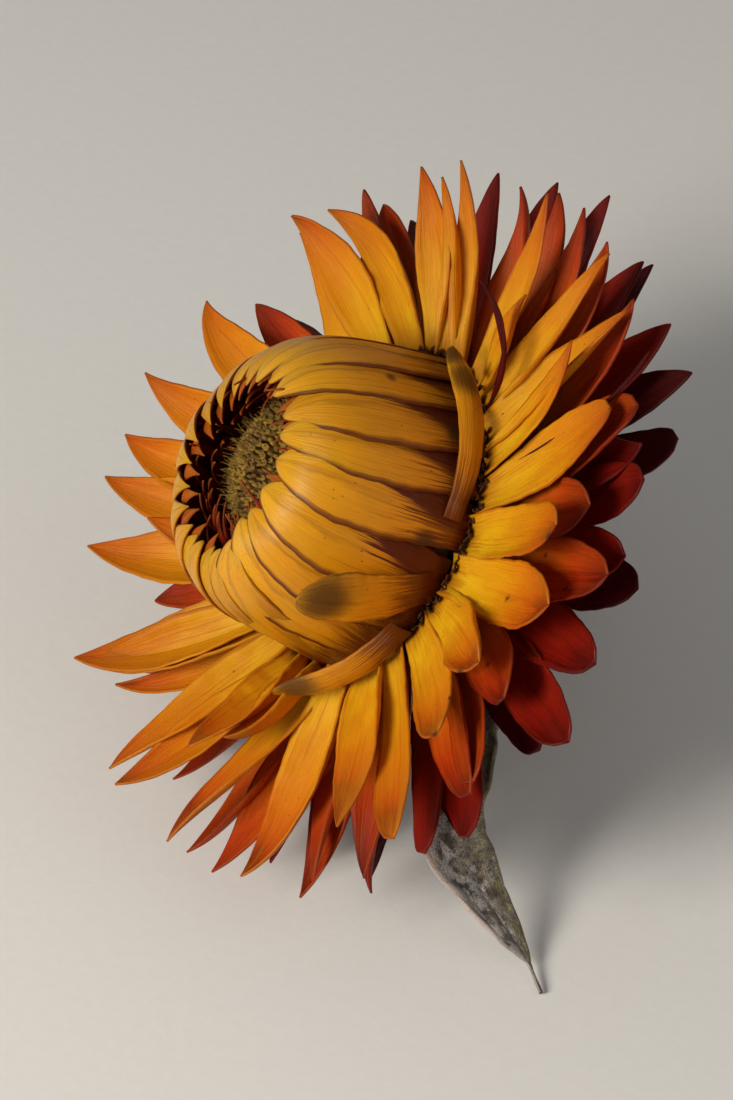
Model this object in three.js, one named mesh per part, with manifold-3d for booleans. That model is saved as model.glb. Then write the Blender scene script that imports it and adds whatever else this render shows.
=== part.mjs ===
// A dried strawflower, picked and lying on a surface.
// Millimetres, +Z up. The surface is z = 0, and the origin is under the middle of the bounding box.
// The head has its own frame: W points out of the flower, Y is uphill in the plane of the wheel of
// bracts, and X is sideways. Azimuths turn from X to Y, so 90 is the top of the wheel and 270 the
// side that touches the surface.
import * as THREE from 'three';
import Module from 'manifold-3d';

// Where the head is and how it is held.
const HEAD = new THREE.Vector3(0.26, -3.94, 25.93);
const LIFT = 36;
const HEADING = 10;

// The photograph, as a pinhole view: it looks down by VIEW_DOWN degrees from VIEW_DISTANCE mm, FOCAL is
// in its own pixels, and the middle of the wheel is seen at HEAD_SEEN.
const VIEW_DOWN = 45;
const VIEW_DISTANCE = 320;
const FOCAL = 4000;
const MIDDLE_SEEN = [366.5, 550];
const HEAD_SEEN = [376, 508];
const NEAREST_SIDE = 36;

// Spreading bracts, layer by layer from the front. root and height say where the bracts leave the
// collar, lean how far the layer stands back from the front one, collar its bottom and top.
const CORE_RADIUS = 9.0;
const COLLAR_INNER = 9.35;
const FORWARD_MEAN = 19;
const FORWARD_SWING = 9;
const FAR_SIDE = 216;
const LAYERS = {
  gold: { root: 13.6, height: -1.15, lean: 0, spread: 9, collar: [-1.65, -0.6], outer: 14.5, curl: 25 },
  orange: { root: 12.8, height: -2.8, lean: -11, spread: 3, collar: [-3.35, -2.0], outer: 13.9, curl: 22 },
  red: { root: 11.8, height: -4.35, lean: -18, spread: 2.5, collar: [-5.0, -3.7], outer: 13.2, curl: 18 },
  maroon: { root: 10.8, height: -6.0, lean: -25, spread: 2.5, collar: [-6.9, -5.4], outer: 12.2, curl: 12 },
};

// Bracts that the photograph shows: azimuth of the root, the tip as it is seen there, length, width,
// and how far the blade bends sideways.
const GOLD_SEEN = [
  [160, 287, 217, 17, 4.6, 25],
  [144, 330, 211, 16.5, 3.8, 30],
  [135, 412, 167, 15, 3.6, 5],
  [125, 440, 178, 14.2, 3.4, 0],
  [115, 460, 162, 15, 3.1, 0],
  [101, 543, 195, 16.3, 3.4, -10],
  [87, 592, 248, 16.5, 3.7, -8],
  [94, 490, 277, 12, 2.8, 40],
  [74, 616, 308, 16.5, 4.2, 0],
  [65, 572, 340, 14, 3.7, 5],
  [52, 605, 408, 15, 4.6, 0],
  [38, 553, 525, 13.5, 4.7, 0],
  [24, 548, 605, 13, 5.2, 0],
  [13, 475, 660, 11.5, 4.6, 0],
  [1, 437, 735, 13, 4.4, 0],
  [-12, 415, 835, 15.5, 4.4, 0],
  [-23, 330, 820, 14.5, 4.6, 8],
  [-37, 255, 885, 17.5, 5.2, 0],
  [-51, 158, 828, 18, 4.8, 0],
  [-62, 180, 745, 13.5, 4.2, 0],
  [-70, 108, 770, 18, 4.6, 0],
  [-80, 100, 748, 18, 4.6, 0],
  [-88, 115, 683, 17, 3.6, -30],
  [-98, 75, 652, 18.5, 5.4, 0],
  [-108, 150, 515, 16, 3.6, 20],
  [-117, 90, 545, 19, 5.4, 0],
  [-128, 105, 475, 19, 5.0, 0],
  [-139, 120, 432, 19, 5.0, 0],
  [-151, 147, 372, 19, 5.2, 0],
  [-165, 195, 300, 18.5, 5.2, 0],
  [177, 300, 232, 17, 5.0, 10],
];
const ORANGE_SEEN = [
  [151, 372, 203, 17, 4.4, 0],
  [110, 505, 182, 16, 4.2, 0],
  [99, 560, 193, 17, 4.2, 0],
  [92, 580, 207, 17.5, 4.2, 0],
  [82, 617, 245, 18, 4.6, 0],
  [69, 635, 300, 18, 4.6, 0],
  [58, 630, 402, 17, 5.0, 0],
  [46, 585, 490, 16, 5.0, 0],
  [31, 608, 575, 16.5, 5.0, 0],
  [18, 497, 700, 14, 4.6, 0],
  [8, 475, 780, 16, 4.6, 0],
  [-3, 465, 790, 16, 4.6, 0],
  [-16, 383, 880, 17, 4.6, 0],
  [-28, 308, 898, 17.5, 4.8, 0],
  [-41, 295, 870, 18, 4.4, 0],
  [-54, 205, 865, 18.5, 4.4, 0],
  [-65, 183, 855, 18.5, 4.4, 0],
  [-76, 180, 783, 17, 4.4, 0],
];
const RED_SEEN = [
  [62, 640, 420, 19, 5.0, 0],
  [50, 637, 455, 19, 5.0, 0],
  [37, 620, 540, 19, 5.0, 0],
  [24, 587, 665, 18, 5.0, 0],
  [13, 568, 740, 18.5, 5.0, 0],
  [-1, 470, 835, 18, 5.0, 0],
  [-11, 400, 850, 18, 4.6, 0],
  [-31, 365, 890, 18, 4.6, 0],
];
const MAROON_SEEN = [
  [60, 655, 395, 19, 4.6, 0],
  [33, 638, 578, 19, 5.0, 0],
  [5, 515, 762, 17, 4.8, 0],
];

// The dome of bracts that still covers the disc. For the bracts that the photograph shows: azimuth of
// the root, width, and how far the blade leans sideways. The others fill the ring evenly.
const DOME_SEEN = [
  [-80, 5.2, 12],
  [-63, 5.4, 14],
  [-44, 5.8, 12],
  [-18, 6.4, 5],
  [3, 5.6, 0],
  [19.5, 6.2, 0],
  [40, 6.4, 0],
  [57.5, 5.6, 0],
  [73.5, 6.0, 0],
  [91, 5.8, 2],
  [106, 5.6, 4],
  [121, 5.6, 4],
];
const DOME_HIDDEN = 9;
const DOME_WIDTH = 5.6;
const DOME_ROOT = 12.8;
const DOME_LENGTH = 16.1;
const DOME_RISE = 95;
const DOME_BEND = 88;
const DOME_TOP_SIDE = 126;

// Narrow bracts inside the mouth of the dome, and the disc of florets.
const INNER_BRACTS = 22;
const INNER_ROOT = 8.9;
const INNER_LENGTH = 13.4;
const FLORETS = 48;
const BACK_SCALES = 24;
const DISC_RADIUS = 5.0;
const DISC_TOP = 12.0;

// Stem: its middle line in world millimetres from under the head's middle, and its radius.
const STEM_RADIUS = 1.35;
const STEM_LINE = [
  [5.6, 1.0, 21.9],
  [8.4, 1.5, 19.8],
  [12.2, 3.0, 15.6],
  [16.0, 8.0, 9.2],
  [17.2, 16.0, 3.9],
  [16.0, 26.0, 1.62],
  [14.0, 37.0, 1.29],
];

// Leaf: its middle line. The first three points are in millimetres like the stem's, and the others are
// where the photograph shows the midrib, with its height over the surface.
const LEAF_HIDDEN = [
  [11.2, -0.9, 16.0],
  [9.2, -6.0, 14.9],
  [7.2, -12.0, 12.0],
];
const LEAF_SEEN = [
  [455, 840, 7.8],
  [480, 890, 4.9],
  [510, 935, 2.2],
  [527, 960, 1.0],
  [541, 993, 0.38],
];
const LEAF_WIDTH = 6.2;

const deg = THREE.MathUtils.degToRad;

// Head frame in world directions.
const W = new THREE.Vector3(
  -Math.cos(deg(LIFT)) * Math.cos(deg(HEADING)),
  -Math.cos(deg(LIFT)) * Math.sin(deg(HEADING)),
  Math.sin(deg(LIFT)),
);
const Y = new THREE.Vector3(0, 0, 1).addScaledVector(W, -W.z).normalize();
const X = new THREE.Vector3().crossVectors(Y, W);

// The same draw for the same number, between 0 and 1.
function draw(n) {
  const v = Math.sin(n * 127.1 + 311.7) * 43758.5453;
  return v - Math.floor(v);
}

// Outward and sideways directions at an azimuth.
function outwardAt(azimuth) {
  const a = deg(azimuth);
  return X.clone().multiplyScalar(Math.cos(a)).addScaledVector(Y, Math.sin(a));
}

function sidewaysAt(azimuth) {
  const a = deg(azimuth);
  return X.clone().multiplyScalar(-Math.sin(a)).addScaledVector(Y, Math.cos(a));
}

// A point of the head from its azimuth, distance from the axis and height along it.
function headPoint(azimuth, radius, height) {
  return HEAD.clone().addScaledVector(outwardAt(azimuth), radius).addScaledVector(W, height);
}

// The photograph's viewpoint and the ray through one of its pixels, in world millimetres.
const SEEN_RIGHT = new THREE.Vector3(1, 0, 0);
const SEEN_UP = new THREE.Vector3(0, Math.sin(deg(VIEW_DOWN)), Math.cos(deg(VIEW_DOWN)));
const SEEN_NEAR = new THREE.Vector3(0, -Math.cos(deg(VIEW_DOWN)), Math.sin(deg(VIEW_DOWN)));
const EYE = HEAD.clone()
  .addScaledVector(SEEN_RIGHT, (MIDDLE_SEEN[0] - HEAD_SEEN[0]) * VIEW_DISTANCE / FOCAL)
  .addScaledVector(SEEN_UP, (HEAD_SEEN[1] - MIDDLE_SEEN[1]) * VIEW_DISTANCE / FOCAL)
  .addScaledVector(SEEN_NEAR, VIEW_DISTANCE);

function seenRay(px, py) {
  return new THREE.Vector3()
    .addScaledVector(SEEN_RIGHT, (px - MIDDLE_SEEN[0]) / FOCAL)
    .addScaledVector(SEEN_UP, (MIDDLE_SEEN[1] - py) / FOCAL)
    .addScaledVector(SEEN_NEAR, -1)
    .normalize();
}

// The point on a pixel's ray that is `length` from a root, on the near or the far side of it.
function reach(root, px, py, length, near) {
  const ray = seenRay(px, py);
  const back = EYE.clone().sub(root);
  const b = back.dot(ray);
  const inside = b * b - back.lengthSq() + length * length;
  const half = inside > 0 ? Math.sqrt(inside) : 0;
  return EYE.clone().addScaledVector(ray, near ? -b - half : -b + half);
}

// Half width of a bract along its length, as a share of the widest.
function outline(s, bract) {
  if (s < bract.wide) {
    return bract.foot + (1 - bract.foot) * Math.sin(Math.PI / 2 * s / bract.wide);
  }
  const rest = Math.cos(Math.PI / 2 * (s - bract.wide) / (1 - bract.wide));
  return Math.max(rest, 0) ** bract.point;
}

// Stations along a bract: point, direction across, direction of the inner face, and half width. The
// blade starts at `rise` above the wheel's plane, curls forward by `curl`, leaves the radial line by
// `side` and bends sideways by `sweep`. It leans in its own plane by `skew`, is rolled by `roll` and
// twisted by `twist`.
const STEPS = 30;
const EVEN = [0, 6, 12, 18, 24, 30];
const BENT = [0, 11, 18, 23, 27, 30];
const COARSE = [0, 8, 16, 24, 30];
const SHORT = [0, 12, 21, 26, 30];
function stations(bract, kept) {
  const r = outwardAt(bract.azimuth);
  const t = sidewaysAt(bract.azimuth);
  const along = (s) => {
    const e = deg(bract.rise + bract.curl * s ** bract.bend);
    const p = deg(bract.side + bract.sweep * s);
    const dir = r.clone().multiplyScalar(Math.cos(e) * Math.cos(p));
    dir.addScaledVector(t, Math.cos(e) * Math.sin(p)).addScaledVector(W, Math.sin(e));
    const flat = r.clone().multiplyScalar(-Math.sin(p)).addScaledVector(t, Math.cos(p));
    const face = dir.clone().cross(flat);
    dir.applyAxisAngle(face, deg(bract.skew));
    flat.applyAxisAngle(face, deg(bract.skew));
    const turn = deg(bract.roll + bract.twist * s);
    const across = flat.clone().multiplyScalar(Math.cos(turn)).addScaledVector(face, Math.sin(turn));
    const inner = face.multiplyScalar(Math.cos(turn)).addScaledVector(flat, -Math.sin(turn));
    return { dir, across, inner };
  };
  const point = headPoint(bract.azimuth, bract.root, bract.height);
  const list = [];
  for (let i = 0; i <= STEPS; i += 1) {
    if (i > 0) {
      point.addScaledVector(along((i - 0.5) / STEPS).dir, bract.length / STEPS);
    }
    if (kept.includes(i)) {
      const s = i / STEPS;
      const { across, inner } = along(s);
      const half = Math.max(bract.width / 2 * outline(s, bract), 0.28);
      list.push({ point: point.clone(), across, inner, half, cup: bract.cup, s });
    }
  }
  return list;
}

// A closed blade over its stations. `shape` holds the section: how many columns of points it has
// across, and the thickness at the middle and at the edge. With an edge of 0 the section is a lens.
function blade(list, shape) {
  const k = shape.columns;
  const position = [];
  const top = [];
  const bottom = [];
  const push = (p) => {
    position.push(p.x, p.y, p.z);
    return position.length / 3 - 1;
  };
  for (const st of list) {
    const topRow = [];
    const bottomRow = [];
    for (let i = 0; i < k; i += 1) {
      const u = 2 * i / (k - 1) - 1;
      const lift = st.cup * 2 * st.half * u * u + (st.wave ? st.wave(u) : 0);
      const middle = st.point.clone().addScaledVector(st.across, st.half * u).addScaledVector(st.inner, lift);
      const thick = (shape.thick + (shape.edge - shape.thick) * u * u) / 2;
      topRow.push(push(middle.clone().addScaledVector(st.inner, thick)));
      const shared = shape.edge === 0 && Math.abs(u) === 1;
      bottomRow.push(shared ? topRow[i] : push(middle.addScaledVector(st.inner, -thick)));
    }
    top.push(topRow);
    bottom.push(bottomRow);
  }
  const index = [];
  const triangle = (a, b, c) => {
    if (a !== b && b !== c && c !== a) index.push(a, b, c);
  };
  const quad = (a, b, c, d) => {
    triangle(a, b, c);
    triangle(a, c, d);
  };
  const m = list.length - 1;
  for (let j = 0; j < m; j += 1) {
    for (let i = 0; i < k - 1; i += 1) {
      quad(top[j][i], top[j + 1][i], top[j + 1][i + 1], top[j][i + 1]);
      triangle(bottom[j][i], bottom[j + 1][i + 1], bottom[j + 1][i]);
      triangle(bottom[j][i], bottom[j][i + 1], bottom[j + 1][i + 1]);
    }
    quad(top[j][0], bottom[j][0], bottom[j + 1][0], top[j + 1][0]);
    quad(top[j][k - 1], top[j + 1][k - 1], bottom[j + 1][k - 1], bottom[j][k - 1]);
  }
  for (let i = 0; i < k - 1; i += 1) {
    quad(top[0][i], top[0][i + 1], bottom[0][i + 1], bottom[0][i]);
    quad(top[m][i], bottom[m][i], bottom[m][i + 1], top[m][i + 1]);
  }
  const geometry = new THREE.BufferGeometry();
  geometry.setAttribute('position', new THREE.Float32BufferAttribute(position, 3));
  geometry.setIndex(index);
  return geometry;
}

const PLAIN = {
  side: 0, sweep: 0, skew: 0, roll: 0, twist: 0, cup: 0.12, wide: 0.5, foot: 0.66, point: 0.75, bend: 1.3,
};

// How far forward the front layer leans at an azimuth.
function forwardAt(azimuth) {
  return FORWARD_MEAN + FORWARD_SWING * Math.cos(deg(azimuth - FAR_SIDE));
}

// The length at which a straight bract comes nearest to a pixel's ray.
function lengthSeen(azimuth, root, px, py, up, off) {
  const dir = outwardAt(azimuth).multiplyScalar(Math.cos(deg(up)) * Math.cos(deg(off)));
  dir.addScaledVector(sidewaysAt(azimuth), Math.cos(deg(up)) * Math.sin(deg(off)));
  dir.addScaledVector(W, Math.sin(deg(up)));
  const ray = seenRay(px, py);
  const back = root.clone().sub(EYE);
  const b = dir.dot(ray);
  const best = (b * ray.dot(back) - dir.dot(back)) / (1 - b * b);
  return THREE.MathUtils.clamp(best, 9, 19.5);
}

// A bract aimed at where the photograph shows its tip.
function seenBract(layer, row) {
  const [azimuth, px, py, length, width, sweep] = row;
  const root = headPoint(azimuth, layer.root, layer.height);
  const near = Math.cos(deg(azimuth - NEAREST_SIDE)) > 0;
  const chord = reach(root, px, py, length, near).sub(root);
  chord.normalize();
  const middle = forwardAt(azimuth) + layer.lean;
  const up = THREE.MathUtils.radToDeg(Math.asin(chord.dot(W)));
  const aside = chord.dot(sidewaysAt(azimuth));
  const off = THREE.MathUtils.radToDeg(Math.atan2(aside, chord.dot(outwardAt(azimuth))));
  const held = THREE.MathUtils.clamp(up, middle - layer.spread, middle + layer.spread);
  const blunt = Math.cos(deg(azimuth - 24)) > 0.8;
  return {
    ...PLAIN, azimuth, root: layer.root, height: layer.height, width, sweep, curl: layer.curl,
    length: 1.02 * lengthSeen(azimuth, root, px, py, held, off), rise: held - layer.curl / 2.3,
    side: off - sweep / 2, point: blunt ? 0.5 : 0.75,
  };
}

// A bract on a side that the photograph doesn't show.
function hiddenBract(layer, azimuth, length, width, seed) {
  const held = forwardAt(azimuth) + layer.lean + (draw(seed) - 0.5) * layer.spread;
  return {
    ...PLAIN, azimuth: azimuth + (draw(seed + 0.3) - 0.5) * 4, root: layer.root, height: layer.height,
    width: width * (0.92 + 0.16 * draw(seed + 0.5)), sweep: (draw(seed + 0.7) - 0.5) * 24,
    curl: layer.curl, length: length * (0.95 + 0.1 * draw(seed + 0.9)), rise: held - layer.curl / 2.3,
    twist: (draw(seed + 0.1) - 0.5) * 20,
  };
}

// Bracts over the surface are shortened until nothing of them is under it.
const FLOOR_CLEAR = 0.01;
function aboveSurface(bract) {
  const lowest = (b) => {
    const g = blade(stations(b, EVEN), LENS);
    g.computeBoundingBox();
    return g.boundingBox.min.z;
  };
  let kept = bract;
  while (lowest(kept) < FLOOR_CLEAR) {
    kept = { ...kept, length: kept.length * 0.996 };
  }
  return kept;
}

const wasm = await Module();
wasm.setup();

// Solids for joining, and back.
function solid(geometry) {
  const vertProperties = new Float32Array(geometry.attributes.position.array);
  const triVerts = new Uint32Array(geometry.index.array);
  return new wasm.Manifold(new wasm.Mesh({ numProp: 3, vertProperties, triVerts }));
}

function joined(geometries) {
  let whole = solid(geometries[0]);
  for (const geometry of geometries.slice(1)) {
    whole = whole.add(solid(geometry));
  }
  const mesh = whole.getMesh();
  const geometry = new THREE.BufferGeometry();
  geometry.setAttribute('position', new THREE.BufferAttribute(mesh.vertProperties, 3));
  geometry.setIndex(new THREE.BufferAttribute(mesh.triVerts, 1));
  return geometry;
}

// A body of revolution on the head's axis, with merged vertices. A profile that begins on the axis
// ends there too, and any other is closed on itself.
function turned(profile, sides) {
  const ring = profile[0][0] > 0;
  const position = [];
  const rows = profile.map(([radius, height]) => {
    if (radius === 0) {
      const p = headPoint(0, 0, height);
      position.push(p.x, p.y, p.z);
      return [position.length / 3 - 1];
    }
    const row = [];
    for (let i = 0; i < sides; i += 1) {
      const p = headPoint(360 * i / sides, radius, height);
      position.push(p.x, p.y, p.z);
      row.push(position.length / 3 - 1);
    }
    return row;
  });
  const index = [];
  const count = ring ? rows.length : rows.length - 1;
  for (let j = 0; j < count; j += 1) {
    const low = rows[j];
    const high = rows[(j + 1) % rows.length];
    for (let i = 0; i < sides; i += 1) {
      const n = (i + 1) % sides;
      if (low.length > 1) index.push(low[i], low[n], high[high.length > 1 ? n : 0]);
      if (high.length > 1) index.push(low[low.length > 1 ? i : 0], high[n], high[i]);
    }
  }
  const geometry = new THREE.BufferGeometry();
  geometry.setAttribute('position', new THREE.Float32BufferAttribute(position, 3));
  geometry.setIndex(index);
  return geometry;
}

// A collar that the bracts of one layer grow from.
function collar(inner, outer, bottom, top) {
  return turned([[inner, bottom], [outer, bottom], [outer, top], [inner, top]], 24);
}

const LENS = { columns: 3, thick: 1.0, edge: 0 };

function layerSolid(layer, bracts, kept) {
  const parts = bracts.map((b) => blade(stations(aboveSurface(b), kept), LENS));
  return joined([collar(COLLAR_INNER, layer.outer, layer.collar[0], layer.collar[1]), ...parts]);
}

function goldLayer() {
  const layer = LAYERS.gold;
  return layerSolid(layer, GOLD_SEEN.map((row) => seenBract(layer, row)), EVEN);
}

function orangeLayer() {
  const layer = LAYERS.orange;
  const bracts = ORANGE_SEEN.map((row) => seenBract(layer, row));
  for (let i = 0; i < 9; i += 1) {
    bracts.push(hiddenBract(layer, 165 + 13 * i, 17.5, 4.6, 100 + i));
  }
  return layerSolid(layer, bracts, COARSE);
}

function redLayer() {
  const layer = LAYERS.red;
  const bracts = RED_SEEN.map((row) => seenBract(layer, row));
  for (let i = 0; i < 15; i += 1) {
    bracts.push(hiddenBract(layer, 78 + 16 * i, 18.2, 4.8, 200 + i));
  }
  return layerSolid(layer, bracts, COARSE);
}

function maroonLayer() {
  const layer = LAYERS.maroon;
  const bracts = MAROON_SEEN.map((row) => seenBract(layer, row));
  for (let i = 0; i < 15; i += 1) {
    bracts.push(hiddenBract(layer, 80 + 18.5 * i, 17.2, 5.0, 300 + i));
  }
  return layerSolid(layer, bracts, COARSE);
}

// Bracts of the closed dome: they rise from the collar and bend in over the mouth, further on the far
// side. Each is rolled a little, so that it lies over one neighbour and under the other.
function domeBract(i) {
  const n = i + 1 - DOME_SEEN.length;
  const row = n < 1 ? DOME_SEEN[i] : [121 + 15.9 * n, DOME_WIDTH, 4 + 6 * (n / DOME_HIDDEN) ** 2];
  const [azimuth, width, skew] = row;
  const far = Math.max(Math.cos(deg(azimuth - FAR_SIDE)), 0);
  const top = Math.max(Math.cos(deg(azimuth - DOME_TOP_SIDE)), 0);
  return {
    ...PLAIN, azimuth, width, skew, root: DOME_ROOT + (i % 2 === 0 ? 0.4 : 0), height: 0.5,
    length: DOME_LENGTH + 1.5 * far + 0.5 * top + 0.7 * (draw(430 + i) - 0.5),
    rise: DOME_RISE + 4.5 * top, curl: DOME_BEND + 20 * far, bend: 3.3, cup: 0.08, wide: 0.5, foot: 0.62,
    point: 0.6 + 0.35 * far, roll: 7,
  };
}

// Loose bracts that lie against the foot of the dome.
const LOOSE = [
  {
    azimuth: 46, root: 13.4, height: 1.1, rise: 2, curl: 10, side: 80, sweep: 62, length: 14.2,
    width: 2.6, roll: -88, wide: 0.8,
  },
  {
    azimuth: 14, root: 13.4, height: 1.0, rise: 60, curl: 22, side: -60, sweep: -10, length: 11,
    width: 4.6, roll: 63,
  },
  {
    azimuth: -4, root: 13.4, height: 1.1, rise: 8, curl: 10, side: -76, sweep: -50, length: 12.5,
    width: 3.4, roll: 86,
  },
];

function domeSolid() {
  const parts = [collar(10.15, 13.6, 0.25, 1.6)];
  for (let i = 0; i < DOME_SEEN.length + DOME_HIDDEN; i += 1) {
    parts.push(blade(stations(domeBract(i), BENT), LENS));
  }
  for (const loose of LOOSE) {
    parts.push(blade(stations({ ...PLAIN, wide: 0.6, point: 0.5, ...loose }, EVEN), LENS));
  }
  return joined(parts);
}

function innerBract(i) {
  const azimuth = 360 * i / INNER_BRACTS + (draw(500 + i) - 0.5) * 5;
  return {
    ...PLAIN, azimuth, root: INNER_ROOT, height: 0.5, width: 2.9, rise: 90, curl: 78, bend: 3.2,
    length: INNER_LENGTH + 1.4 * (draw(530 + i) - 0.5), cup: 0.08, wide: 0.3, foot: 0.8, point: 0.9,
    sweep: (draw(560 + i) - 0.5) * 12,
  };
}

function innerSolid() {
  const parts = [collar(8.25, 9.8, 0.1, 1.4)];
  for (let i = 0; i < INNER_BRACTS; i += 1) {
    parts.push(blade(stations(innerBract(i), SHORT), { columns: 3, thick: 0.8, edge: 0 }));
  }
  return joined(parts);
}

// Florets in a spiral over a core that narrows upward.
function discSolid() {
  const core = turned([
    [0, 0.1], [7.9, 0.1], [7.9, 1.2], [5.4, 4.0], [DISC_RADIUS, 10.4], [3.4, DISC_TOP - 0.6],
    [0, DISC_TOP - 0.2],
  ], 16);
  const parts = [core];
  for (let i = 0; i < FLORETS; i += 1) {
    const radius = (DISC_RADIUS + 0.3) * Math.sqrt((i + 0.5) / FLORETS);
    const azimuth = 137.508 * i;
    const height = DISC_TOP - 1.9 * (radius / DISC_RADIUS) ** 2;
    parts.push(floret(azimuth, radius, height, i));
  }
  return joined(parts);
}

// One floret: a small pointed bud on a neck that is sunk in the core.
function floret(azimuth, radius, height, i) {
  const middle = headPoint(azimuth, radius, height);
  const lean = outwardAt(azimuth).multiplyScalar(0.28 * radius / DISC_RADIUS);
  const axis = W.clone().add(lean).normalize();
  const side = outwardAt(azimuth + 90);
  const other = axis.clone().cross(side);
  const position = [];
  const place = (r, h, a) => {
    const p = middle.clone().addScaledVector(axis, h);
    p.addScaledVector(side, r * Math.cos(a)).addScaledVector(other, r * Math.sin(a));
    position.push(p.x, p.y, p.z);
  };
  for (const [r, h] of [[0.34, -1.5], [0.5, 0.3]]) {
    for (let k = 0; k < 4; k += 1) {
      place(r, h, Math.PI / 2 * k);
    }
  }
  place(0, -1.5, 0);
  place(0, 0.85 + 0.3 * draw(600 + i), 0);
  const index = [];
  for (let k = 0; k < 4; k += 1) {
    const n = (k + 1) % 4;
    index.push(k, 4 + n, 4 + k, k, n, 4 + n, 8, n, k, 9, 4 + k, 4 + n);
  }
  const geometry = new THREE.BufferGeometry();
  geometry.setAttribute('position', new THREE.Float32BufferAttribute(position, 3));
  geometry.setIndex(index);
  return geometry;
}

// Small dry scales in two rows on the back of the swollen top.
function backScale(i) {
  const inner = i % 2;
  return {
    ...PLAIN, azimuth: 360 * i / BACK_SCALES + 6 * (draw(700 + i) - 0.5), root: inner ? 4.6 : 7.0,
    height: inner ? -9.3 : -8.2, rise: inner ? -20 : -14, curl: 12, width: 4.2,
    length: (inner ? 6.2 : 6.6) + draw(730 + i), foot: 0.7, cup: 0.1,
  };
}

// The stem, with the swollen top that carries the head.
function stemSolid() {
  const cup = turned([
    [0, -10.6], [2.2, -10.2], [5.2, -8.9], [7.6, -7.7], [CORE_RADIUS, -6.6], [CORE_RADIUS, -0.25], [0, -0.25],
  ], 16);
  const points = STEM_LINE.map(([x, y, z]) => new THREE.Vector3(HEAD.x + x, HEAD.y + y, z));
  const path = new THREE.CatmullRomCurve3(points, false, 'centripetal');
  const scales = [];
  for (let i = 0; i < BACK_SCALES; i += 1) {
    scales.push(blade(stations(backScale(i), [0, 10, 20, 30]), LENS));
  }
  return joined([cup, tube(path, STEM_RADIUS, 18, 8), ...scales]);
}

// A tube with closed ends along a curve.
function tube(path, radius, steps, sides) {
  const section = new THREE.Shape();
  for (let i = 0; i < sides; i += 1) {
    const a = 2 * Math.PI * i / sides;
    const x = radius * Math.cos(a);
    const y = radius * Math.sin(a);
    if (i === 0) section.moveTo(x, y);
    else section.lineTo(x, y);
  }
  section.closePath();
  const geometry = new THREE.ExtrudeGeometry(section, { steps, bevelEnabled: false, extrudePath: path });
  return welded(geometry);
}

// The same surface with one vertex for each place.
function welded(geometry) {
  const source = geometry.attributes.position;
  const seen = new Map();
  const position = [];
  const names = [];
  for (let i = 0; i < source.count; i += 1) {
    const key = [source.getX(i), source.getY(i), source.getZ(i)].map((v) => v.toFixed(4)).join();
    if (!seen.has(key)) {
      seen.set(key, position.length / 3);
      position.push(source.getX(i), source.getY(i), source.getZ(i));
    }
    names.push(seen.get(key));
  }
  const order = geometry.index ? Array.from(geometry.index.array) : names.map((_, i) => i);
  const index = [];
  for (let i = 0; i < order.length; i += 3) {
    const [a, b, c] = [names[order[i]], names[order[i + 1]], names[order[i + 2]]];
    if (a !== b && b !== c && c !== a) index.push(a, b, c);
  }
  const merged = new THREE.BufferGeometry();
  merged.setAttribute('position', new THREE.Float32BufferAttribute(position, 3));
  merged.setIndex(index);
  return merged;
}

// The leaf: a crumpled lanceolate blade with a drawn-out tip.
function leafSolid() {
  const points = LEAF_HIDDEN.map(([x, y, z]) => new THREE.Vector3(HEAD.x + x, HEAD.y + y, z));
  for (const [px, py, z] of LEAF_SEEN) {
    const ray = seenRay(px, py);
    points.push(EYE.clone().addScaledVector(ray, (z - EYE.z) / ray.z));
  }
  const path = new THREE.CatmullRomCurve3(points, false, 'centripetal');
  const list = [];
  const count = 12;
  for (let j = 0; j <= count; j += 1) {
    const s = j / count;
    const point = path.getPointAt(s);
    const dir = path.getTangentAt(s);
    const across = dir.clone().cross(new THREE.Vector3(-0.25, 0.2, 1)).normalize().negate();
    const inner = dir.clone().cross(across).normalize();
    const body = Math.sin(Math.PI * Math.min(s / 0.92, 1) ** 0.85) ** 0.7;
    const half = Math.max(LEAF_WIDTH / 2 * body, 0.3);
    const wave = (u) => 0.35 * half / 3 * Math.sin(2.6 * u + 9 * s) * Math.abs(u);
    list.push({ point, across, inner, half, cup: 0.1, wave });
  }
  return blade(list, { columns: 5, thick: 0.75, edge: 0.6 });
}

function piece(name, geometry, color, roughness) {
  const material = new THREE.MeshStandardMaterial({ color, roughness, metalness: 0, side: THREE.FrontSide });
  const mesh = new THREE.Mesh(geometry, material);
  mesh.name = name;
  return mesh;
}

const flower = new THREE.Group();
flower.name = 'dried_strawflower';
flower.add(piece('stem', stemSolid(), 0x6f6248, 0.85));
flower.add(piece('leaf', leafSolid(), 0x6d7163, 0.8));
flower.add(piece('maroon_bracts', maroonLayer(), 0x4a120c, 0.5));
flower.add(piece('red_bracts', redLayer(), 0x9c2410, 0.45));
flower.add(piece('orange_bracts', orangeLayer(), 0xc65a12, 0.42));
flower.add(piece('gold_bracts', goldLayer(), 0xd9a017, 0.4));
flower.add(piece('dome_bracts', domeSolid(), 0xd8a41c, 0.4));
flower.add(piece('inner_bracts', innerSolid(), 0x5a1712, 0.5));
flower.add(piece('disc_florets', discSolid(), 0x9a7a1e, 0.75));

export default flower;
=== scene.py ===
# %% [markdown]
# # A dried strawflower, picked and laid down
# The flower is a wheel of papery bracts round a half-open dome. This script starts from the packed
# model of its plain solids, which gives the place and size of everything, and builds a finer piece
# over each solid: thin bracts, a disc of florets, a ribbed stem and a crumpled leaf.

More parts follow.
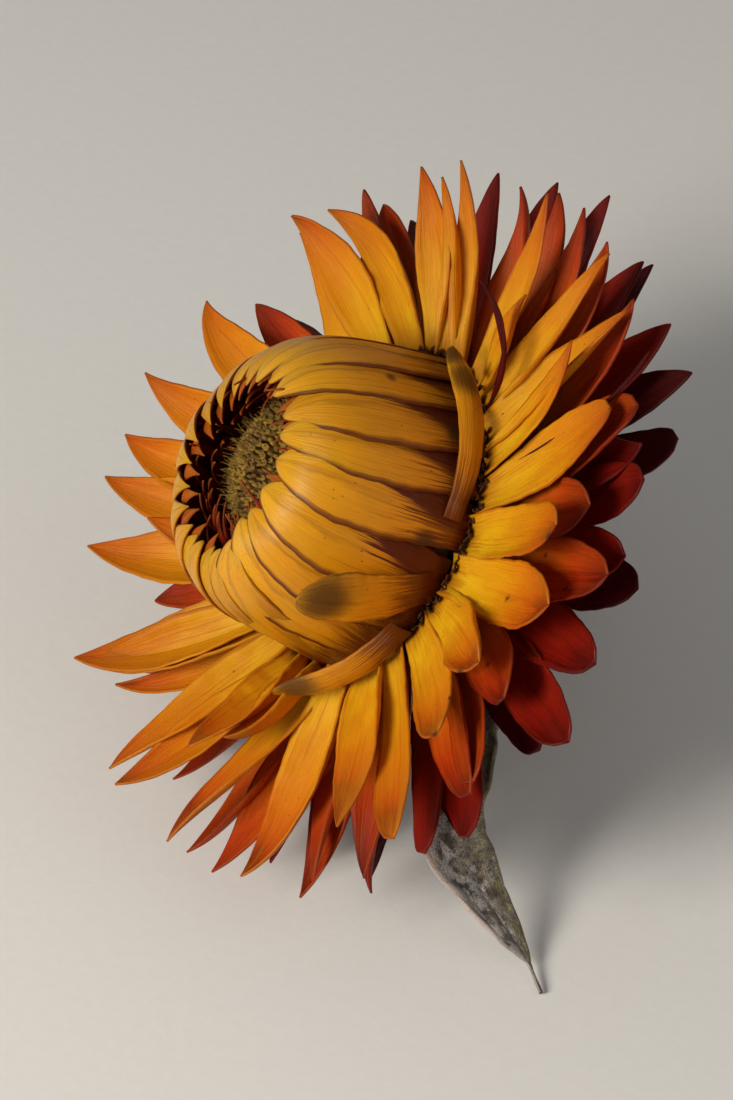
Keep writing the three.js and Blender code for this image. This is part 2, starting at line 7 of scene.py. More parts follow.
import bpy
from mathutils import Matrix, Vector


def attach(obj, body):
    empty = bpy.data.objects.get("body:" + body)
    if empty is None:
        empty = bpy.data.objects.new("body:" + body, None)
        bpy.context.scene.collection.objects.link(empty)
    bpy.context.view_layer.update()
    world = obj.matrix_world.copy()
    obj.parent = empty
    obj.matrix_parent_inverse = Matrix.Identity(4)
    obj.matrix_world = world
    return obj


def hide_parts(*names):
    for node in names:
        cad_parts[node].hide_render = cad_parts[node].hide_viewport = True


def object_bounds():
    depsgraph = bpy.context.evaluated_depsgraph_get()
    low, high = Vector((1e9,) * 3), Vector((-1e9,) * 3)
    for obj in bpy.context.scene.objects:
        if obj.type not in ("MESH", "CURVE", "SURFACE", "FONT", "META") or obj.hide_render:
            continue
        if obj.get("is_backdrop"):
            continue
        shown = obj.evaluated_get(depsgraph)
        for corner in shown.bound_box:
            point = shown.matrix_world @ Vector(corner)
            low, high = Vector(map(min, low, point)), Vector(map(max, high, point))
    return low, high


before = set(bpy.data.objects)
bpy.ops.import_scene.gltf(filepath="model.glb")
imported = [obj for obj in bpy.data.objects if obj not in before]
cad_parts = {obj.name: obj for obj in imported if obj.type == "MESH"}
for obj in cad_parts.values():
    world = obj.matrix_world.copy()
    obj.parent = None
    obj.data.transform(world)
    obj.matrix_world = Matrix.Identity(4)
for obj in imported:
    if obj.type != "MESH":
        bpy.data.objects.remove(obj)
plain_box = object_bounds()
print("solids:", sorted(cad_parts))

# %% [markdown]
# ## Where the flower head is
# The head lies on its side, so it has directions of its own: W points out of the flower, Y is
# uphill in the plane of the wheel and X is sideways. A place on the head is then an azimuth, a
# distance from the axis and a height along it, which is how a flower grows. One could also model
# the head upright and turn it afterwards, but then the bracts that rest on the table couldn't be
# fitted to it. Lengths are in millimetres up to the moment that a mesh is made.

# %% Directions of the head
from math import asin, atan2, cos, degrees, exp, floor, pi, radians, sin, sqrt

import bpy
import numpy as np

MM = 0.001
HEAD = np.array([0.26, -3.94, 25.93])
LIFT = radians(36)
HEADING = radians(10)


def unit(vector):
    return vector / np.linalg.norm(vector)


W = np.array([-cos(LIFT) * cos(HEADING), -cos(LIFT) * sin(HEADING), sin(LIFT)])
Y = unit(np.array([0, 0, 1]) - W[2] * W)
X = np.cross(Y, W)


def cosd(angle):
    return cos(radians(angle))


def between(angle, start, end):
    """The direction at that angle from start, towards end."""
    return cos(angle) * start + sin(angle) * end


def outward(azimuth):
    return between(radians(azimuth), X, Y)


def head_point(azimuth, radius, height):
    return HEAD + radius * outward(azimuth) + height * W


def draw(n):
    """The same number between 0 and 1 for the same n, so that every run gives the same flower."""
    v = sin(n * 127.1 + 311.7) * 43758.5453
    return v - floor(v)


def sway(n):
    """The same, but between -0.5 and 0.5."""
    return draw(n) - 0.5


print("the flower faces", W.round(2))

# %% [markdown]
# ## The camera
# The photograph looks down on the flower by 45 degrees with a long lens. The camera is put where it
# was taken from, because the tips of the bracts are placed below by where the photograph shows
# them. A sensor of 36 mm on the long side of 1100 pixels turns a focal length in pixels into
# millimetres.

# %% Camera
VIEW_DOWN = radians(45)
VIEW_DISTANCE = 320
FOCAL = 4000
SENSOR = 36
PHOTO_LONG_SIDE = 1100
MIDDLE_SEEN = (366.5, 550)
HEAD_SEEN = (376, 508)
SEEN_RIGHT = np.array([1, 0, 0])
SEEN_UP = np.array([0, sin(VIEW_DOWN), cos(VIEW_DOWN)])
SEEN_NEAR = np.array([0, -cos(VIEW_DOWN), sin(VIEW_DOWN)])
EYE = HEAD + VIEW_DISTANCE * (
    SEEN_RIGHT * (MIDDLE_SEEN[0] - HEAD_SEEN[0]) / FOCAL
    + SEEN_UP * (HEAD_SEEN[1] - MIDDLE_SEEN[1]) / FOCAL + SEEN_NEAR
)


def put(name, data=None):
    """A new object in the scene."""
    made = bpy.data.objects.new(name, data)
    bpy.context.scene.collection.objects.link(made)
    return made


camera = put("camera", bpy.data.cameras.new("camera"))
camera.location = EYE * MM
camera.rotation_euler = (radians(90) - VIEW_DOWN, 0, 0)
camera.data.sensor_width = SENSOR
camera.data.lens = FOCAL / PHOTO_LONG_SIDE * SENSOR
camera.data.clip_start = 0.01
camera.data.clip_end = 20
bpy.context.scene.camera = camera
print("lens", round(camera.data.lens, 1), "mm")


def seen_ray(px, py):
    """The direction from the camera to a pixel of the photograph."""
    right = (px - MIDDLE_SEEN[0]) / FOCAL
    up = (MIDDLE_SEEN[1] - py) / FOCAL
    return unit(SEEN_RIGHT * right + SEEN_UP * up - SEEN_NEAR)


# %% [markdown]
# ## Shaders written as sums
# A material here is a net of nodes. Placing and linking them one by one hides what the net works
# out, so two small classes let it be written as Python: a Wire is one output of a node, a sum
# written with it adds Math nodes, and a Finish is a material whose method makes any other node.

# %% Wires and finishes


class Wire:
    """One output of a shader node. Sums on it add Math nodes."""

    def __init__(self, finish, socket):
        self.finish = finish
        self.socket = socket

    def sum(self, operation, *terms):
        return self.finish.node("Math", {"operation": operation}, dict(enumerate(terms)))

    def __add__(self, other):
        return self.sum("ADD", self, other)

    def __sub__(self, other):
        return self.sum("SUBTRACT", self, other)

    def __rsub__(self, other):
        return self.sum("SUBTRACT", other, self)

    def __mul__(self, other):
        return self.sum("MULTIPLY", self, other)

    def __abs__(self):
        return self.sum("ABSOLUTE", self)

    __radd__ = __add__
    __rmul__ = __mul__


class Finish:
    """A material, and the one way to add a node to it."""

    def __init__(self, name):
        self.material = bpy.data.materials.new(name)
        self.material.use_nodes = True
        self.tree = self.material.node_tree
        self.tree.nodes.clear()

    def node(self, kind, settings=None, inputs=None, output=0):
        made = self.tree.nodes.new("ShaderNode" + kind)
        for key, value in (settings or {}).items():
            if key == "stops":
                ramp = made.color_ramp
                while len(ramp.elements) < len(value):
                    ramp.elements.new(1)
                for element, (at, *colour) in zip(ramp.elements, value):
                    element.position = at
                    element.color = (*colour, 1)
            else:
                setattr(made, key, value)
        for key, value in (inputs or {}).items():
            if isinstance(value, Wire):
                self.tree.links.new(value.socket, made.inputs[key])
            elif isinstance(value, tuple) and len(value) == 3 and made.inputs[key].type == "RGBA":
                made.inputs[key].default_value = (*value, 1)
            else:
                made.inputs[key].default_value = value
        return Wire(self, made.outputs[output]) if made.outputs else None

    def field(self, name):
        """A number that Python has written on every corner of the mesh."""
        return self.node("Attribute", {"attribute_name": name}, output="Fac")

    def place(self):
        """Where a point lies on its object."""
        return self.node("TexCoord", output="Object")

    def vector(self, x, y, z):
        return self.node("CombineXYZ", None, {"X": x, "Y": y, "Z": z})

    def noise(self, vector, scale, detail=3, roughness=0.55):
        inputs = {"Vector": vector, "Scale": scale, "Detail": detail, "Roughness": roughness}
        return self.node("TexNoise", None, inputs, output="Fac")

    def step(self, value, low, high):
        """0 below low, 1 above high, a soft rise between them. It falls if low is above high."""
        inputs = {"Value": value, "From Min": low, "From Max": high}
        return self.node("MapRange", {"interpolation_type": "SMOOTHSTEP"}, inputs)

    def mix(self, share, under, over):
        return self.node("Mix", {"data_type": "RGBA"}, {0: share, 6: under, 7: over}, 2)

    def coats(self, colour, *coats):
        """Lays coats over a colour, each given as how far it covers and its own colour."""
        for share, over in coats:
            colour = self.mix(share, colour, over)
        return colour

    def surface(self, colour, roughness, height, depth, **constants):
        """Joins the parts of a finish. depth is how far the bump stands out, in millimetres."""
        relief = {"Height": height, "Distance": depth * MM, "Strength": 1}
        bump = self.node("Bump", None, relief)
        inputs = {"Base Color": colour, "Roughness": roughness, "Normal": bump}
        inputs.update({key.replace("_", " "): value for key, value in constants.items()})
        shader = self.node("BsdfPrincipled", None, inputs)
        self.node("OutputMaterial", None, {"Surface": shader})
        return self.material


print("Wire and Finish are ready")

# %% [markdown]
# ## Table and light
# The flower lies on a plain pale surface in soft studio light. One large light stands to the left,
# where the flower faces, so that the dome is bright and the layers behind it fall off into shade. A
# weak one opens up the shadows from the right, and the world adds an even grey.

# %% Table and light
bpy.ops.mesh.primitive_plane_add(size=6)
table = bpy.context.object
table.name = "table"
table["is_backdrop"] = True
board = Finish("pale_table")
grain = board.noise(board.place(), 900, 2)
table.data.materials.append(board.surface(
    board.mix(grain, (0.78, 0.765, 0.74), (0.82, 0.805, 0.78)), 0.72, grain, 0.02,
))


def lamp(name, place, size, power, colour):
    light = bpy.data.lights.new(name, "AREA")
    light.size = size
    light.energy = power
    light.color = colour
    holder = put(name, light)
    holder.location = place
    aim = put(name + "_aim")
    aim.location = HEAD * MM
    track = holder.constraints.new("TRACK_TO")
    track.target = aim
    track.track_axis = "TRACK_NEGATIVE_Z"
    track.up_axis = "UP_Y"


lamp("key", (-0.3, -0.24, 0.26), 0.18, 1.95, (1, 0.95, 0.86))
lamp("fill", (0.34, -0.2, 0.3), 0.4, 0.25, (1, 0.97, 0.93))
world = bpy.data.worlds.new("studio")
world.use_nodes = True
background = world.node_tree.nodes["Background"].inputs
background["Color"].default_value = (1, 0.99, 0.97, 1)
background["Strength"].default_value = 0.2
bpy.context.scene.world = world
bpy.context.scene.view_settings.view_transform = "Standard"
print("a table, one key and one fill")

# %% [markdown]
# ## The shape of one bract
# A bract is a narrow sheet that starts at the collar, rises by some angle and curls forward as it
# grows. Its middle line is followed in small steps, each turned a little from the one before, and
# the width comes from an outline that swells and then runs to a point. Bending a flat sheet with a
# modifier would do too, but this way the tip comes out where the photograph shows it.
#
# In a recipe rise is the angle at the foot and curl what it gains on the way, side and sweep are
# the same sideways, and hook and veer act near the tip. skew turns the blade in its own plane, roll
# and twist turn it round its middle line, and cup and wave lift its margins. The outline swells
# from foot until wide and narrows from there, more sharply with a larger point. The claw is a short
# straight start that hides in the collar.

# %% Middle line, outline and section of a bract
PLAIN = dict(
    side=0, sweep=0, veer=0, skew=0, roll=0, twist=0, bend=1.3, hook=0, foot=0.66, wide=0.5,
    point=0.75, cup=0.12, wave=0.22, claw=0, seed=0, flush=0.5, tuck=0,
)
ROWS = 40
COLUMNS = 13
THINNEST = 0.04


def outline(s, b):
    swell = b["foot"] + (1 - b["foot"]) * np.sin(np.pi / 2 * np.clip(s / b["wide"], 0, 1))
    taper = np.cos(np.pi / 2 * np.clip((s - b["wide"]) / (1 - b["wide"]), 0, 1))
    return np.where(s < b["wide"], swell, np.maximum(taper, 0) ** b["point"])


def turn(angle, a, b):
    """Two directions, both turned in their plane."""
    return a * np.cos(angle) + b * np.sin(angle), b * np.cos(angle) - a * np.sin(angle)


def ripple(s, waves, n):
    """A wave along s, shifted as n draws."""
    return np.sin(waves * s + 6.3 * draw(n))


def directions(b, s):
    """Along the bract, across it, and out of its inner face, at each share s of its length."""
    r = outward(b["azimuth"])
    t = outward(b["azimuth"] + 90)
    e = np.radians(b["rise"] + b["curl"] * s ** b["bend"] + b["hook"] * s ** 6)[:, None]
    p = np.radians(b["side"] + b["sweep"] * s + b["veer"] * s ** 4)[:, None]
    along = np.cos(e) * np.cos(p) * r + np.cos(e) * np.sin(p) * t + np.sin(e) * W
    flat = -np.sin(p) * r + np.cos(p) * t
    face = np.cross(along, flat)
    along, flat = turn(np.radians(b["skew"]), along, flat)
    return along, *turn(np.radians(b["roll"] + b["twist"] * s)[:, None], flat, face)


def sheet_points(b, rows=ROWS, columns=COLUMNS):
    """The sheet of one bract as rows of points, from its foot to its tip."""
    s = np.linspace(0, 1, rows + 1)
    u = np.linspace(-1, 1, columns)
    steps = directions(b, (s[1:] + s[:-1]) / 2)[0] * b["length"] / rows
    start = head_point(b["azimuth"], b["root"], b["height"])
    line = start + np.vstack([-unit(steps[0]) * b["claw"], np.cumsum(steps, 0)])
    _, across, inner = directions(b, s)
    n = b["seed"]
    uneven = [
        1 + 0.04 * ripple(s, 5, n + k) + 0.018 * ripple(s, 23, n + 5 + k)
        + 0.012 * ripple(s, 57, n + 15 + k) for k in (0, 1)
    ]
    half = np.maximum(b["width"] / 2 * outline(s, b), THINNEST)
    reach = half[:, None] * np.where(u < 0, uneven[0][:, None], uneven[1][:, None]) * u
    lift = b["cup"] * 2 * half[:, None] * (0.7 * u ** 2 + 0.3 * np.abs(u))
    swing = [ripple(s, 6, n + 2), ripple(s, 5, n + 3)]
    margin = 0.5 + np.where(u < 0, swing[0][:, None], swing[1][:, None])
    lift = lift + b["wave"] * margin * np.abs(u) ** 5 * (half / half.max())[:, None]
    return line[:, None] + reach[..., None] * across[:, None] + lift[..., None] * inner[:, None]


print("a bract has", (ROWS + 1) * COLUMNS, "points")

# %% [markdown]
# ## Tips where the photograph has them
# Most bracts of the wheel can be seen, so each one is aimed: the point on the pixel's line of sight
# that lies one bract's length from its root. There are two such points, and a bract on the side
# that leans to the camera takes the near one. The photograph can't say how far away a tip is, so
# the angle out of the wheel is kept near that of its layer, and the length is taken where the
# straight bract passes nearest to the line of sight. Bracts that would dip into the table are cut
# shorter. On the right the bracts are blunt and flat, and elsewhere pointed, and they twist and
# hook.

# %% Aiming a bract
NEAREST_SIDE = 36
FAR_SIDE = 216
BLUNT_SIDE = 24
SHORTEST = 9
LONGEST = 19.5
TABLE_GAP = 0.12
BLUNT = dict(point=0.38, wide=0.6, cup=0.08, cup_more=0.08, sweep=8, twist=16, hook=16)
POINTED = dict(point=0.88, wide=0.44, cup=0.15, cup_more=0.2, sweep=26, twist=44, hook=70)
LAYERS = {
    "gold": dict(root=13.6, height=-1.15, lean=0, spread=9, curl=25),
    "scoop": dict(root=13.9, height=-0.8, lean=28, spread=7, curl=36, near=True),
    "upright": dict(root=13.6, height=-0.6, lean=36, spread=10, curl=16),
    "orange": dict(root=12.8, height=-2.8, lean=-11, spread=3, curl=22),
    "red": dict(root=11.8, height=-4.35, lean=-18, spread=2.5, curl=18),
    "maroon": dict(root=10.8, height=-6, lean=-25, spread=2.5, curl=12),
}


def forward(azimuth):
    """How far the front layer leans forward, in degrees."""
    return 19 + 9 * cosd(azimuth - FAR_SIDE)


def aimed_direction(root, px, py, length, near):
    ray = seen_ray(px, py)
    back = EYE - root
    b = back @ ray
    half = sqrt(max(b * b - back @ back + length * length, 0))
    return unit(EYE + ray * (-b - half if near else -b + half) - root)


def length_seen(direction, root, px, py):
    ray = seen_ray(px, py)
    back = root - EYE
    b = direction @ ray
    return min(max((b * (ray @ back) - direction @ back) / (1 - b * b), SHORTEST), LONGEST)


def rise_at_foot(held, curl):
    """The angle to start with, so that a bract that curls is held at the angle asked on average."""
    return held - curl / (1 + PLAIN["bend"])


def seen_bract(layer, row, seed):
    azimuth, px, py, length, width, sweep = (*row, 0)[:6]
    root = head_point(azimuth, layer["root"], layer["height"])
    r = outward(azimuth)
    t = outward(azimuth + 90)
    near = layer.get("near", cosd(azimuth - NEAREST_SIDE) > 0)
    chord = aimed_direction(root, px, py, length, near)
    middle = forward(azimuth) + layer["lean"]
    up = degrees(asin(chord @ W))
    off = atan2(chord @ t, chord @ r)
    held = radians(min(max(up, middle - layer["spread"]), middle + layer["spread"]))
    straight = between(held, between(off, r, t), W)
    form = BLUNT if cosd(azimuth - BLUNT_SIDE) > 0.8 else POINTED
    sweep += form["sweep"] * sway(seed + 14)
    veer = 0 if form is BLUNT else (22 if azimuth > 55 else -16) + 20 * sway(seed + 15)
    return dict(
        PLAIN, azimuth=azimuth, root=layer["root"], height=layer["height"], width=width,
        length=1.02 * length_seen(straight, root, px, py), curl=layer["curl"],
        rise=rise_at_foot(degrees(held), layer["curl"]), sweep=sweep, veer=veer,
        side=degrees(off) - sweep / 2 - veer / 5, seed=seed, claw=0.8,
        point=form["point"], wide=form["wide"],
        cup=form["cup"] + form["cup_more"] * draw(seed + 9), twist=form["twist"] * sway(seed + 11),
        hook=form["hook"] * (draw(seed + 12) - 0.6), wave=0.2 + 0.35 * draw(seed + 13),
        flush=0.2 + 0.55 * max(cosd(azimuth + 15), 0) + 0.3 * draw(seed + 8),
    )


def hidden_bract(layer, azimuth, length, width, seed):
    held = forward(azimuth) + layer["lean"] + sway(seed) * layer["spread"]
    return dict(
        PLAIN, azimuth=azimuth + 4 * sway(seed + 0.3), root=layer["root"],
        height=layer["height"], width=width * (0.92 + 0.16 * draw(seed + 0.5)),
        length=length * (0.95 + 0.1 * draw(seed + 0.9)), curl=layer["curl"],
        rise=rise_at_foot(held, layer["curl"]), sweep=24 * sway(seed + 0.7),
        twist=20 * sway(seed + 0.1), seed=seed,
    )


def above_table(b):
    """The bract, shortened until its sheet is clear of the table."""
    while sheet_points(b, 20, 5)[..., 2].min() < TABLE_GAP:
        b = dict(b, length=b["length"] * 0.996)
    return b


print(len(LAYERS), "kinds of layer to aim for")

# %% [markdown]
# ## From sheets to a mesh
# All the bracts of a layer make one mesh. Every point also carries what the finish needs to know:
# how far along and across the bract it is, a tone of its own for each bract, how deep its flush of
# red is, how strongly painted shade shows where it is tucked under its neighbour, and how near it
# is to a dark mark, which is a brown blot on some bracts and painted shade on others. With these
# the colour follows the bract round every bend, which no flat projection would. A Solidify modifier
# then gives the paper its thickness, and the inner face its own finish where there is one.

# %% Points and faces to a piece


def grid_faces(rows, columns, ring=False):
    """Faces between rows of points. In a ring the last point of a row joins its first."""
    steps = [(i, (i + 1) % columns) for i in range(columns if ring else columns - 1)]
    return [
        (columns * j + i, columns * j + n, columns * (j + 1) + n, columns * (j + 1) + i)
        for j in range(rows) for i, n in steps
    ]


def gather(parts):
    """The points and faces of many small parts as those of one mesh."""
    points = []
    faces = []
    for some, joints in parts:
        start = len(points)
        points.extend(some)
        faces.extend(tuple(start + v for v in face) for face in joints)
    return points, faces


def solid(name, node, points, faces, *finishes):
    mesh = bpy.data.meshes.new(name)
    mesh.from_pydata(np.array(points) * MM, [], faces)
    mesh.polygons.foreach_set("use_smooth", [True] * len(faces))
    for finish in finishes:
        mesh.materials.append(finish)
    piece = put(name, mesh)
    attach(piece, "root")
    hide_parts(node)
    print(name, len(faces), "faces")
    return piece


def write_fields(piece, fields):
    for key, values in fields.items():
        attribute = piece.data.attributes.new(key, "FLOAT", "POINT")
        attribute.data.foreach_set("value", np.array(values, np.float32))


def thicken(piece, thick):
    skin = piece.modifiers.new("thickness", "SOLIDIFY")
    skin.thickness = thick * MM
    skin.offset = 0
    return skin


print("a sheet has", len(grid_faces(ROWS, COLUMNS)), "faces")

# %% Paper sheets


def seen_on(places, px, py):
    """The point nearest to the camera among those that lie under a pixel of the photograph."""
    ray = seen_ray(px, py)
    depth = (places - EYE) @ ray
    away = np.linalg.norm(places - EYE - depth[:, None] * ray, axis=1)
    return places[np.argmin(depth + 50 * np.maximum(away - 0.5, 0))]


def paper(
    name, node, bracts, inside, outside=None, thick=0.2, rows=ROWS, columns=COLUMNS, blots_and_shade=(),
):
    quads = grid_faces(rows, columns)
    sheets = [sheet_points(b, rows, columns).reshape(-1, 3) for b in bracts]
    points, faces = gather([(sheet, quads) for sheet in sheets])
    piece = solid(name, node, points, faces, outside or inside, inside)
    thicken(piece, thick).material_offset = 1
    places = np.array(points)
    marks = np.zeros(len(places))
    for px, py, size in blots_and_shade:
        away = np.linalg.norm(places - seen_on(places, px, py), axis=1)
        marks = np.maximum(marks, np.exp(-(away / size) ** 2))
    each = (rows + 1) * columns
    write_fields(piece, {
        "along": np.tile(np.repeat(np.linspace(0, 1, rows + 1), columns), len(bracts)),
        "across": np.tile(np.linspace(-1, 1, columns), (rows + 1) * len(bracts)),
        "tone": np.repeat([draw(b["seed"] + 0.77) for b in bracts], each),
        "flush": np.repeat([b["flush"] for b in bracts], each),
        "tuck": np.repeat([b["tuck"] for b in bracts], each),
        "smudge": marks,
    })
    print("  from", len(bracts), "sheets")


# %% [markdown]
# ## The papery finish
# A dried bract is a thin glossy skin with fine ribs from foot to tip. Its colour runs from gold at
# the foot to a flush of red at the tip, in streaks and not evenly, and its rims are darker. The
# ribs come from noise that is stretched along the bract. They colour it, bend its gloss through a
# Bump node, and let the change from gold to red follow them. Shade is painted into the colour too:
# a dark line in the midrib's crease, a darker half on one side of the midrib, and where a bract is
# tucked under the next, a painted shadow in a dark wedge that runs up from its foot and a thin
# painted shade line along its free edge. A little light passes through the paper, which constant
# subsurface scattering gives.

# %% Papery finish
# SMEAR_AND_SHADE is the dark brown of specks and blots, and of painted shade on the loose bracts.
SMEAR_AND_SHADE = (0.05, 0.016, 0.004)


def papery(name, stops, vein_and_shade, rim_and_shade, edge, rim_from=0.72, foot=0, gloss=0.42, shine=0.14):
    """stops run from foot to tip. vein_and_shade colours the ribs and a painted half shade,
    rim_and_shade the margin and the painted shade lines, and edge the very edge.
    """
    f = Finish(name)
    along = f.field("along")
    across = f.field("across")
    tone = f.field("tone")
    flush = f.field("flush")
    shift = tone * 60
    ribs = f.noise(f.vector(across * 13, along * 1.6, shift), 1, 4, 0.62)
    fine = f.noise(f.vector(across * 42, along * 2.6, shift), 1, 2, 0.6)
    blotch = f.noise(f.vector(across * 1.7, along * 4.5, shift + 7), 1, 3, 0.5)
    run = along + (ribs - 0.5) * 0.38 + (blotch - 0.5) * 0.3 + (flush - 0.5) * 0.55 * along
    colour = f.node("ValToRGB", {"stops": stops}, {"Fac": run}, output="Color")
    # crease_shade is painted shade: a dark line along the midrib's crease.
    crease_shade = f.step(abs(across + (blotch - 0.5) * 0.5), 0.14, 0) * f.step(along, 0.15, 0.7)
    margin = f.step(abs(across) + (ribs - 0.5) * 0.5, rim_from, 1.06)
    last = f.step(abs(across) + (ribs - 0.5) * 0.3, 0.93, 1.02)
    # tucked sets how strongly the painted shade of an overlapped bract shows.
    tucked = f.field("tuck")
    # shaded is painted shade: the half on one side of the midrib is darker, as on a lit V-fold.
    shaded = f.step(across + (ribs - 0.5) * 0.4, -0.1, 0.6) * (1 - tucked)
    dry_foot = []
    if foot:
        reach = along + (ribs - 0.5) * 0.9 + (fine - 0.5) * 0.4
        dry_foot = [(f.step(reach, foot, foot * 0.15) * 0.85, rim_and_shade)]
    # overlap_shade is a painted shadow: a dark wedge up from the foot, where the neighbour
    # overlaps.
    overlap_shade = f.step(across + (ribs - 0.5) * 1.2 + (fine - 0.5) * 0.8 - along * 1.2, -0.32, -0.18)
    # edge_shade is painted shade: a thin dark line along the free edge that lies over the
    # neighbour.
    edge_shade = f.step((fine - 0.5) * 0.2 - across, 0.78, 0.94)
    grain = f.noise(f.vector(across * 26, along * 60, shift + 11), 1, 2, 0.6)
    dry_tip = f.step(grain, 0.52, 0.66) * f.step(along, 0.5, 0.95) * (1 - tucked)
    specks = f.noise(f.vector(across * 9, along * 34, shift + 3), 1, 1, 0.5)
    # smudge darkens round listed marks: brown blots, and painted shade on the loose bracts.
    smudge = f.step(f.field("smudge") + (ribs - 0.5) * 0.35, 0.3, 0.95)
    colour = f.coats(
        colour, (f.step(blotch + tone * 0.25, 0.45, 0.95) * 0.55, vein_and_shade),
        (f.step(fine, 0.5, 0.7) * 0.4, vein_and_shade), (f.step(ribs, 0.56, 0.72) * 0.35, rim_and_shade),
        (crease_shade * 0.3, rim_and_shade), (margin * 0.42, rim_and_shade), (last * 0.45, edge), (shaded * 0.38, vein_and_shade),
        *dry_foot, (tucked * overlap_shade * f.step(along, 0.85, 0.55), rim_and_shade),
        (f.step(tucked, 0.1, 0.3) * edge_shade * 0.9, rim_and_shade), (dry_tip * 0.5, rim_and_shade),
        (f.step(specks, 0.76, 0.8) * 0.8, SMEAR_AND_SHADE), (smudge * 0.85, SMEAR_AND_SHADE),
    )
    roughness = gloss + (blotch - 0.5) * 0.22 + (fine - 0.5) * 0.16
    height = ribs * 0.7 + fine * 0.22 + blotch * 0.5
    return f.surface(
        colour, roughness, height, 0.12, Subsurface_Weight=0.22, Subsurface_Scale=0.0008,
        Subsurface_Radius=(1, 0.35, 0.06), Specular_IOR_Level=shine,
    )


gold_paper = papery(
    "gold_paper",
    [(0, 0.46, 0.17, 0.005), (0.1, 0.76, 0.42, 0.008), (0.42, 0.71, 0.31, 0.004),
     (0.68, 0.63, 0.17, 0.003), (0.88, 0.5, 0.07, 0.003), (1, 0.22, 0.018, 0.003)],
    (0.54, 0.19, 0.004), (0.36, 0.08, 0.003), (0.34, 0.08, 0.003), rim_from=0.88,
)
orange_paper = papery(
    "orange_paper",
    [(0, 0.42, 0.1, 0.004), (0.18, 0.66, 0.21, 0.004), (0.45, 0.62, 0.13, 0.004),
     (0.7, 0.46, 0.04, 0.003), (0.9, 0.24, 0.012, 0.003), (1, 0.1, 0.006, 0.003)],
    (0.4, 0.06, 0.003), (0.16, 0.012, 0.003), (0.14, 0.01, 0.003), rim_from=0.84,
)
red_paper = papery(
    "red_paper",
    [(0, 0.26, 0.035, 0.003), (0.35, 0.36, 0.018, 0.003), (0.85, 0.2, 0.006, 0.003),
     (1, 0.08, 0.004, 0.003)],
    (0.22, 0.01, 0.003), (0.07, 0.005, 0.003), (0.06, 0.004, 0.003), rim_from=0.84,
)
maroon_paper = papery(
    "maroon_paper",
    [(0, 0.13, 0.014, 0.004), (0.4, 0.12, 0.006, 0.004), (1, 0.06, 0.004, 0.004)],
    (0.055, 0.004, 0.003), (0.025, 0.003, 0.003), (0.02, 0.003, 0.003), rim_from=0.84, gloss=0.46,
)
print("four layers of paper")

# %% [markdown]
# ## The front layer of the wheel
# Thirty-three golden bracts stand out round the dome. Each row gives the azimuth of the root, the
# pixel of the tip in the photograph, the length and width, and how far the blade bends sideways, if
# it does. Two short ones at the lower left curl up like scoops and one at the left stands nearly
# upright, so these are held at angles of their own. Nicks are dark spots, by pixel and size.

# %% Gold bracts
GOLD_SEEN = [
    (160, 287, 217, 17, 4.6, 25), (144, 330, 211, 16.5, 3.8, 30), (135, 412, 167, 15, 3.6, 24),
    (125, 440, 178, 14.2, 3.3, 16), (115, 460, 162, 15, 3, 18), (101, 543, 195, 16.3, 3.2, 14),
    (87, 592, 248, 16.5, 3.5, 12), (94, 505, 292, 10, 2.8, 8), (74, 616, 308, 16.5, 4.2),
    (65, 572, 340, 14, 3.7, 5), (52, 605, 408, 15, 4.6), (38, 553, 525, 13.5, 4.7),
    (24, 548, 605, 13, 5.2), (13, 475, 660, 11.5, 4.6), (1, 437, 735, 13, 4.4),
    (-12, 436, 835, 15.5, 4.4), (-23, 330, 820, 14.5, 4.6, 8), (-37, 255, 885, 17.5, 5.2),
    (-51, 158, 828, 18, 4.8), (-70, 108, 770, 18, 4.6), (-80, 100, 748, 18, 4.6),
    (-88, 115, 683, 17, 2.7, -34), (-93, 86, 657, 18, 5, -14), (-98, 75, 652, 18.5, 5.4),
    (-117, 90, 545, 19, 5.4), (-128, 105, 475, 19, 5), (-139, 120, 432, 19, 5),
    (-151, 147, 372, 19, 5.2), (-165, 195, 300, 18.5, 5.2), (177, 300, 232, 17, 5, 10),
]
SCOOPS_SEEN = [(-64, 184, 738, 12.9, 4.6, -2), (-55, 226, 748, 10.9, 4.6)]
UPRIGHT_SEEN = [(-106, 152, 514, 14, 3.4, 16)]
gold = [seen_bract(LAYERS["gold"], row, 10 + i) for i, row in enumerate(GOLD_SEEN)]
for layer, rows, cup in (("scoop", SCOOPS_SEEN, 0.34), ("upright", UPRIGHT_SEEN, 0.2)):
    gold += [dict(seen_bract(LAYERS[layer], row, 700 + row[1]), cup=cup) for row in rows]
gold = [above_table(b) for b in gold]
NICKS = [(549, 537, 0.5), (506, 593, 0.4), (456, 674, 0.45), (450, 694, 0.3), (444, 742, 0.35)]
paper("gold_bracts_paper", "gold_bracts", gold, gold_paper, rows=44, columns=17, blots_and_shade=NICKS)

# %% [markdown]
# ## The layers behind
# Orange, red and maroon bracts fill the gaps behind the gold ones. On the side away from the camera
# they can't be seen, so they are set evenly with a little chance in angle, width and length.

